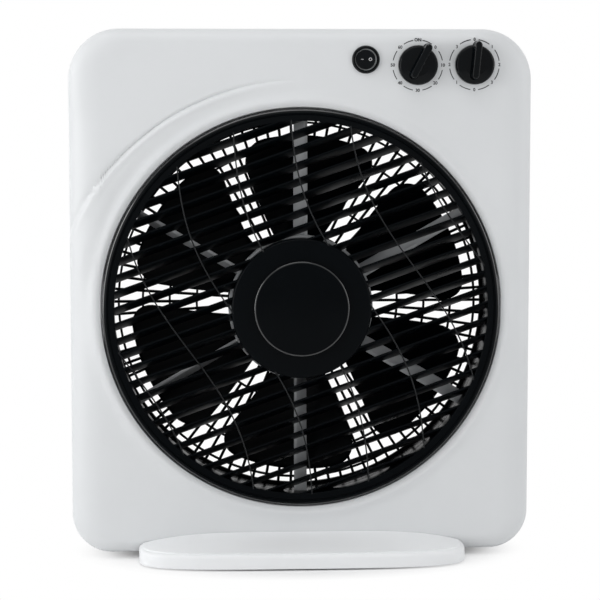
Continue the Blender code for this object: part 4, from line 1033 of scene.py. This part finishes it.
def knob(name, joint, pointer):
    low, high = boxOf(name + "_knob")
    centre = jointPlace(joint) * (1, 0, 1)
    top, back = low[1], high[1]
    r = controls["knobRadius"]
    skirtFront = back - 5 * mm
    skirt = filleted(
        [
            (0, skirtFront - 1.5 * mm, 0),
            (r * 0.55, skirtFront - 1.3 * mm, 4 * mm),
            (r - 1.6 * mm, skirtFront - 0.4 * mm, 1.5 * mm),
            (r - 0.3 * mm, skirtFront + 1.2 * mm, 1.0 * mm),
            (r, back - 0.4 * mm, 0.4 * mm),
            (r - 0.6 * mm, back, 0),
            (3.3 * mm, back, 0),
            (3.3 * mm, back - 4.5 * mm, 0),
            (0, back - 4.5 * mm, 0),
        ],
        7,
    )
    half = controls["gripWidth"] / 2
    end, tail = controls["pointerReach"], controls["tailReach"]
    turn = np.linspace(0, math.pi, 15)
    levels = [
        (skirtFront + 0.2 * mm, -0.5 * mm),
        (skirtFront - 1.4 * mm, -0.45 * mm),
        (skirtFront - 2.2 * mm, 0.0),
        (top + 3 * mm, 0.35 * mm),
    ]
    for step in np.linspace(0, math.pi / 2, 6):
        levels.append((top + 1.2 * mm * (1 - math.sin(step)), 0.5 * mm + 1.2 * mm * (1 - math.cos(step))))
    rows = []
    for y, inset in levels:
        w = half - inset
        nose = np.stack([w * np.cos(turn), end - half + (half - inset) * np.sin(turn)], -1)
        heel = np.stack([-w * np.cos(turn), -(tail - half) - (half - inset) * np.sin(turn)], -1)
        outline = np.concatenate([nose, heel])
        across, up = outline[:, 0], outline[:, 1]
        x = across * math.cos(pointer) + up * math.sin(pointer)
        z = -across * math.sin(pointer) + up * math.cos(pointer)
        rows.append(np.stack([x, y + 0 * x, z], -1) + centre)
    grip = sheet(np.stack(rows), capped=True)
    sheets = [turned(skirt, 96, centre, closed=False), grip]
    return piece(name + "_knob_skin", sheets, blackControl, name, [name + "_knob"], 32)


def rockerSwitch():
    centre = jointPlace("rocker_tilt") * (1, 0, 1)
    low, high = boxOf("rocker_bezel")
    r, front = (high[0] - low[0]) / 2, low[1]
    inner = 8.8 * mm
    bezel = filleted(
        [
            (inner, front + 2.2 * mm, 0),
            (inner, front + 0.8 * mm, 0.6 * mm),
            (inner + 0.5 * mm, front, 0.5 * mm),
            (r - 0.9 * mm, front, 1.4 * mm),
            (r, front + 2.2 * mm, 0.3 * mm),
            (9.8 * mm, front + 2.2 * mm, 0),
            (9.8 * mm, high[1], 0.3 * mm),
            (inner, high[1], 0),
        ],
        7,
        closed=True,
    )
    piece(
        "rocker_bezel_skin",
        [turned(bezel, 96, centre)],
        blackControl,
        "housing",
        ["rocker_bezel"],
    )
    # the rocker's face is a shallow trough across the two marks, tilted about an upright axis
    pivot = jointPlace("rocker_tilt")
    radius = 8.0 * mm
    share = np.concatenate([np.linspace(0, 0.94, 12), [0.975, 0.993, 1.0, 1.0, 1.0]])
    drop = np.array([0] * 12 + [0.12, 0.35, 0.75, 2.5, 6.0]) * mm
    a = np.linspace(0, 2 * math.pi, 72, endpoint=False)
    x = radius * share[:, None] * np.cos(a)
    z = radius * share[:, None] * np.sin(a)
    y = -2.5 * mm - 1.5 * mm * (x / radius) ** 2 + drop[:, None] - 1 * mm
    closing = np.stack([0 * a, 2.4 * mm + 0 * a, 0 * a], -1)[None]
    points = np.concatenate([np.stack([x, y, z], -1), closing])
    sheets = [sheet(tilted(points) + pivot)]
    piece("rocker_skin", sheets, blackControl, "rocker", ["rocker"], 40)
    ring = roundedBar(0.36 * mm, 0.08 * mm, 0.03 * mm, 2)
    b = np.linspace(0, 2 * math.pi, 40, endpoint=False)
    ringX = 3.9 * mm + (1.15 * mm + ring[None, :, 0]) * np.cos(b)[:, None]
    ringZ = 0.2 * mm + (1.15 * mm + ring[None, :, 0]) * np.sin(b)[:, None]
    ringY = -3.5 * mm - 1.5 * mm * (ringX / radius) ** 2 + ring[None, :, 1]
    dash = roundedBar(0.08 * mm, 0.34 * mm, 0.03 * mm, 2)
    along = np.linspace(-3.6 * mm, -1.6 * mm, 8)[:, None]
    dashY = -3.5 * mm - 1.5 * mm * (along / radius) ** 2 + dash[None, :, 0]
    dashPoints = np.stack([along + 0 * dashY, dashY, 0.2 * mm + dash[None, :, 1] + 0 * dashY], -1)
    marks = [
        sheet(tilted(np.stack([ringX, ringY, ringZ], -1)) + pivot, wrapRows=True),
        sheet(tilted(dashPoints) + pivot, capped=True),
    ]
    piece("rocker_marks", marks, whiteInk, "rocker")


def tilted(points, angle=math.radians(-7)):
    c, s = math.cos(angle), math.sin(angle)
    x, y = points[..., 0], points[..., 1]
    return np.stack([c * x - s * y, s * x + c * y, points[..., 2]], -1)


def textMesh(words, size):
    curve = bpy.data.curves.new("words", "FONT")
    curve.body, curve.size, curve.extrude = words, size, 0.03 * mm
    curve.offset = 0.11 * mm
    curve.align_x, curve.align_y, curve.resolution_u = "CENTER", "CENTER", 4
    holder = bpy.data.objects.new("words", curve)
    bpy.context.scene.collection.objects.link(holder)
    bpy.context.view_layer.update()
    shaped = bpy.data.meshes.new_from_object(holder.evaluated_get(bpy.context.evaluated_depsgraph_get()))
    bpy.data.objects.remove(holder, do_unlink=True)
    return shaped


def dialPrint(name, joint, labels, gap):
    # words and strokes laid on the panel's surface round a knob, clockwise from the top
    centre = jointPlace(joint) * (1, 0, 1)
    textRadius, strokeHalf = controls["printRadius"], controls["strokeHalf"]
    work = bmesh.new()
    for angle, words in labels:
        mark = textMesh(words, controls["printSize"])
        flat = np.zeros(len(mark.vertices) * 3)
        mark.vertices.foreach_get("co", flat)
        flat = flat.reshape(-1, 3)
        turn = math.radians(angle)
        x = centre[0] + textRadius * math.sin(turn) + flat[:, 0]
        z = centre[2] + textRadius * math.cos(turn) + flat[:, 1]
        y = panelFront - panelHeight(x, z) - 0.02 * mm - flat[:, 2]
        mark.vertices.foreach_set("co", np.stack([x, y, z], -1).ravel())
        work.from_mesh(mark)
        bpy.data.meshes.remove(mark)
    bmesh.ops.recalc_face_normals(work, faces=work.faces)
    data = bpy.data.meshes.new(name)
    work.to_mesh(data)
    work.free()
    piece(name, data, darkInk, "housing")
    sheets = []
    angles = [angle for angle, words in labels]
    for start, end in zip(angles, angles[1:] + [angles[0] + 360]):
        a = np.radians(np.linspace(start + gap, end - gap, 10))[:, None]
        r = textRadius + np.array((-strokeHalf, -strokeHalf, strokeHalf, strokeHalf))[None, :]
        x = centre[0] + r * np.sin(a)
        z = centre[2] + r * np.cos(a)
        lift = np.array((0, 0.05, 0.05, 0))[None, :] * mm
        y = panelFront - panelHeight(x, z) - lift + 0.01 * mm
        sheets.append(sheet(np.stack([x, y, z], -1), capped=True))
    piece(name + "_strokes", sheets, darkInk, "housing")


knob("timer", "timer_turn", math.radians(28))
knob("speed", "speed_turn", math.radians(5.7))
rockerSwitch()
timerLabels = [
    (0, "ON"),
    (45, "0"),
    (90, "10"),
    (135, "20"),
    (180, "30"),
    (225, "40"),
    (270, "50"),
    (315, "60"),
]
speedLabels = [(i * 45, str(i % 4)) for i in range(8)]
dialPrint("timer_print", "timer_turn", timerLabels, 11)
dialPrint("speed_print", "speed_turn", speedLabels, 9)
print("controls made")


# foot

footShape = dict(
    halfWidth=134 * mm,
    reach=48 * mm,
    squareness=4,  # power of the outline's and the dome's curves
    rim=13.2 * mm,
    dome=9.5 * mm,
    edge=3.5 * mm,
    clear=1.2 * mm,
)


def footOutline(inset, z, share=1.0):
    # squarish half curves, x = w cos^(2/n) t and y = r sin^(2/n) t, behind the housing and in front of it,
    # joined by straight sides
    power = 2 / footShape["squareness"]
    t = np.linspace(0, math.pi, 97)
    c, d = np.cos(t), np.maximum(np.sin(t), 0)
    wide, out = footShape["halfWidth"] - inset, footShape["reach"] - inset
    across = np.sign(c) * np.abs(c) ** power * wide
    backHalf = np.stack([across, rearHigh[1] + d**power * out], -1)
    outline = np.concatenate([backHalf, -backHalf]) * share
    return np.stack([outline[:, 0], outline[:, 1], z + 0 * outline[:, 0]], -1)


def foot():
    rim, clear, edge = footShape["rim"], footShape["clear"], footShape["edge"]
    rows = [
        footOutline(6 * mm, clear + 5 * mm),
        footOutline(2.5 * mm, clear + 5 * mm),
        footOutline(2.5 * mm, clear),
        footOutline(0.8 * mm, clear),
    ]
    for turn in np.linspace(0, math.pi / 2, 5):
        rows.append(footOutline(0.8 * mm * (1 - math.sin(turn)), clear + 0.8 * mm * (1 - math.cos(turn))))
    for turn in np.linspace(0, math.pi / 2, 9)[:-1]:
        rows.append(footOutline(edge * (1 - math.cos(turn)), rim - edge * (1 - math.sin(turn))))
    for share in np.linspace(0.972, 0.0, 40):
        rise = footShape["dome"] * (1 - share ** footShape["squareness"])
        rows.append(footOutline(0, rim + rise, share))
    rows.append(footOutline(0, clear + 5 * mm, 0.0))
    # the foot wears the lighter copy of the shell's white, painted light on its top
    made = piece(
        "foot_skin", [sheet(np.stack(rows), wrapRows=True)], footWhiteWithPaintedLight, "housing", ["foot"]
    )
    half = rearHigh[1] + 0.3 * mm
    x = np.array((-150, 150, 150, -150)) * mm
    y = np.array((-half, -half, half, half))
    slot = np.stack([np.stack([x, y, z + 0 * x], -1) for z in (4.7 * mm, 60 * mm)])
    return carve(made, [sheet(slot, capped=True)], 30)


foot()
print("foot made")


# screws, gland and other small pieces

def screw(node, direction, radius=3.5 * mm):
    # a pan head with a cross recess, on a shank that fades into its hole
    low, high = boxOf(node)
    length = (high - low)[1 if direction == "Y" else 2]
    rows, steps = 26, 64
    r = np.linspace(0, radius, rows)[:, None]
    a = np.linspace(0, 2 * math.pi, steps, endpoint=False)[None, :]
    x, z = r * np.cos(a), r * np.sin(a)
    dome = 2 * mm * np.sqrt(np.maximum(1 - (r / (radius * 1.12)) ** 2, 0)) + 0 * a
    arm = np.minimum(np.abs(x), np.abs(z))
    cross = smoothStep(0.55 * mm - arm, 0, 0.2 * mm) * smoothStep(1.9 * mm - r, 0, 0.4 * mm)
    height = dome - 1.1 * mm * cross
    head = np.stack([x, height, z], -1)
    shank = []
    for out, down in (
        (radius, 0.2 * mm),
        (radius, 0),
        (1.5 * mm, 0),
        (1.5 * mm, 1 * mm - length + 2 * mm),
        (0, -length + 2 * mm),
    ):
        shank.append(np.stack([out * np.cos(a[0]), down + 0 * a[0], out * np.sin(a[0])], -1))
    points = np.concatenate([head, np.stack(shank)])
    if direction == "Z":
        points = points[..., (0, 2, 1)] * (1, 1, -1)
        base = np.array(((low[0] + high[0]) / 2, (low[1] + high[1]) / 2, low[2] + 2 * mm))
    else:
        base = np.array(((low[0] + high[0]) / 2, high[1] - 2 * mm, (low[2] + high[2]) / 2))
    return piece(node + "_skin", [sheet(points + base)], zinc, "housing", [node], 40)


for i in range(1, 5):
    screw(f"shell_screw_{i}", "Y")
    screw(f"foot_screw_{i}", "Z")
for i in range(1, 4):
    screw(f"motor_screw_{i}", "Y")
for i in range(1, 3):
    screw(f"bracket_screw_{i}", "Y")


def footPads():
    for i in range(1, 5):
        low, high = boxOf(f"foot_pad_{i}")
        centre = np.array(((low[0] + high[0]) / 2, (low[1] + high[1]) / 2, 0))
        r = (high[0] - low[0]) / 2
        profile = filleted(
            [
                (0, 0.3 * mm, 0),
                (r * 0.55, 0.3 * mm, 0.2 * mm),
                (r * 0.62, 0, 0.3 * mm),
                (r, 0, 0.8 * mm),
                (r, high[2], 0.3 * mm),
                (0, high[2], 0),
            ],
            5,
        )
        piece(
            f"foot_pad_{i}_skin",
            [turnedUp(profile, centre)],
            blackRubber,
            "housing",
            [f"foot_pad_{i}"],
        )


def cableGland():
    centre = axisPlace("cable_gland")
    low, high = boxOf("cable_gland")
    back = rearHigh[1]
    profile = filleted(
        [
            (3.2 * mm, low[1], 0.3 * mm),
            (5.5 * mm, low[1], 0.4 * mm),
            (5.5 * mm, back - 1.1 * mm, 0.2 * mm),
            (8 * mm, back - 1.1 * mm, 0.3 * mm),
            (8 * mm, back + 1.4 * mm, 0.9 * mm),
            (5.4 * mm, back + 2 * mm, 0.8 * mm),
            (4.6 * mm, high[1], 0.5 * mm),
            (3.2 * mm, high[1], 0.4 * mm),
        ],
        6,
        closed=True,
    )
    piece(
        "cable_gland_skin", [turned(profile, 64, centre)], blackRubber, "housing", ["cable_gland"]
    )


footPads()
cableGland()
print("small pieces made")


# the finish of the pieces that keep their own shape

finishes = dict(
    switch_black=blackCase,
    roller_white=paleCase,
    steel=steel,
    zinc=zinc,
    iron=iron,
    alloy=alloy,
    copper=copper,
    bronze=bronze,
    rubber=blackRubber,
)
for entry in frame["record"]["subparts"]:
    kept = frame["nodes"][entry["node"]]
    if not kept.hide_render:
        kept.data.materials.clear()
        kept.data.materials.append(finishes[entry["material_slot"]])


# floor, backdrop, lights and camera

studio = dict(
    distance=1.70,
    elevation=math.radians(5.4),
    yaw=math.radians(-3.2),
    lens=125,
    aimUp=7.4 * mm,
    aimSide=-1.6 * mm,
    ahead=0.5,
    behind=0.75,
    leftPower=20.0,
    rightPower=9.5,
    topPower=8.5,
)


def floor():
    # white where it is bare and far off, with the soft shadow kept close to the foot
    grid = np.linspace(-3, 3, 2)
    x, y = np.meshgrid(grid, grid)
    plane = meshOf("floor", [sheet(np.stack([x, y, 0 * x - 0.0002], -1), wrapColumns=False)])
    made = bpy.data.objects.new("floor", plane)
    bpy.context.scene.collection.objects.link(made)
    material, maker = blank("white floor")
    squeezed = maker.node("Mapping", {"Vector": place(maker), "Scale": (1 / 0.134, 1 / 0.087, 1)})
    length = maker.node("VectorMath", {0: squeezed}, output=1, operation="LENGTH")
    near = 1 - length.between(0.9, 1.45)
    ray = maker.node("LightPath")
    seen = Wire(maker.tree, ray.socket.node.outputs["Is Camera Ray"])
    diffuse = maker.node("BsdfDiffuse", {"Color": (0.93, 0.93, 0.93, 1)})
    glow = maker.node("Emission", {"Color": (1, 1, 1, 1), "Strength": 1.0})
    surface = maker.node("MixShader", {0: (1 - near) * seen, 1: diffuse, 2: glow})
    maker.node("OutputMaterial", {"Surface": surface})
    plane.materials.append(material)


def world():
    sky = bpy.data.worlds.new("studio")
    bpy.context.scene.world = sky
    sky.use_nodes = True
    sky.node_tree.nodes.clear()
    maker = Wire(sky.node_tree)
    ray = maker.node("LightPath").socket.node
    seen = Wire(sky.node_tree, ray.outputs["Is Camera Ray"])
    mirrored = Wire(sky.node_tree, ray.outputs["Is Glossy Ray"])
    mirrored = mirrored + Wire(sky.node_tree, ray.outputs["Is Transmission Ray"])
    direction = maker.node("SeparateXYZ", {0: maker.node("TexCoord")}, output=1)
    behind = direction.between(-0.25, 0.45)
    strength = studio["ahead"] + behind * (studio["behind"] - studio["ahead"])
    soft = maker.node("Background", {"Color": (0.98, 0.99, 1.0, 1), "Strength": strength})
    white = maker.node("Background", {"Color": (1, 1, 1, 1), "Strength": 1.0})
    mix = maker.node("MixShader", {0: (seen + mirrored * behind).limited(), 1: soft, 2: white})
    maker.node("OutputWorld", {"Surface": mix})


def areaLight(name, spot, target, size, power):
    lamp = bpy.data.lights.new(name, "AREA")
    lamp.shape, lamp.size, lamp.size_y = "RECTANGLE", size[0], size[1]
    lamp.energy = power
    holder = bpy.data.objects.new(name, lamp)
    holder.location = spot
    holder.rotation_mode = "QUATERNION"
    holder.rotation_quaternion = (Vector(target) - Vector(spot)).to_track_quat("-Z", "Y")
    bpy.context.scene.collection.objects.link(holder)


def camera():
    lens = bpy.data.cameras.new("camera")
    lens.lens, lens.sensor_width = studio["lens"], 36
    holder = bpy.data.objects.new("camera", lens)
    target = Vector((studio["aimSide"], wheelFront, fanAxis[2] + studio["aimUp"]))
    e, a = studio["elevation"], studio["yaw"]
    back = Vector((math.sin(a) * math.cos(e), -math.cos(a) * math.cos(e), math.sin(e)))
    holder.location = target + back * studio["distance"]
    holder.rotation_mode = "QUATERNION"
    holder.rotation_quaternion = (-back).to_track_quat("-Z", "Y")
    lens.clip_start, lens.clip_end = 0.05, 50
    bpy.context.scene.collection.objects.link(holder)
    bpy.context.scene.camera = holder


floor()
world()
aim = (0, 0, fanAxis[2])
areaLight("left", (-1.9, -0.9, 0.6), aim, (1.2, 1.4), studio["leftPower"])
areaLight("right", (1.9, -0.8, 0.5), aim, (1.2, 1.4), studio["rightPower"])
areaLight("top", (-0.3, -0.7, 2.0), aim, (1.6, 1.0), studio["topPower"])
camera()
bpy.context.scene.view_settings.view_transform = "Standard"
print("studio made")
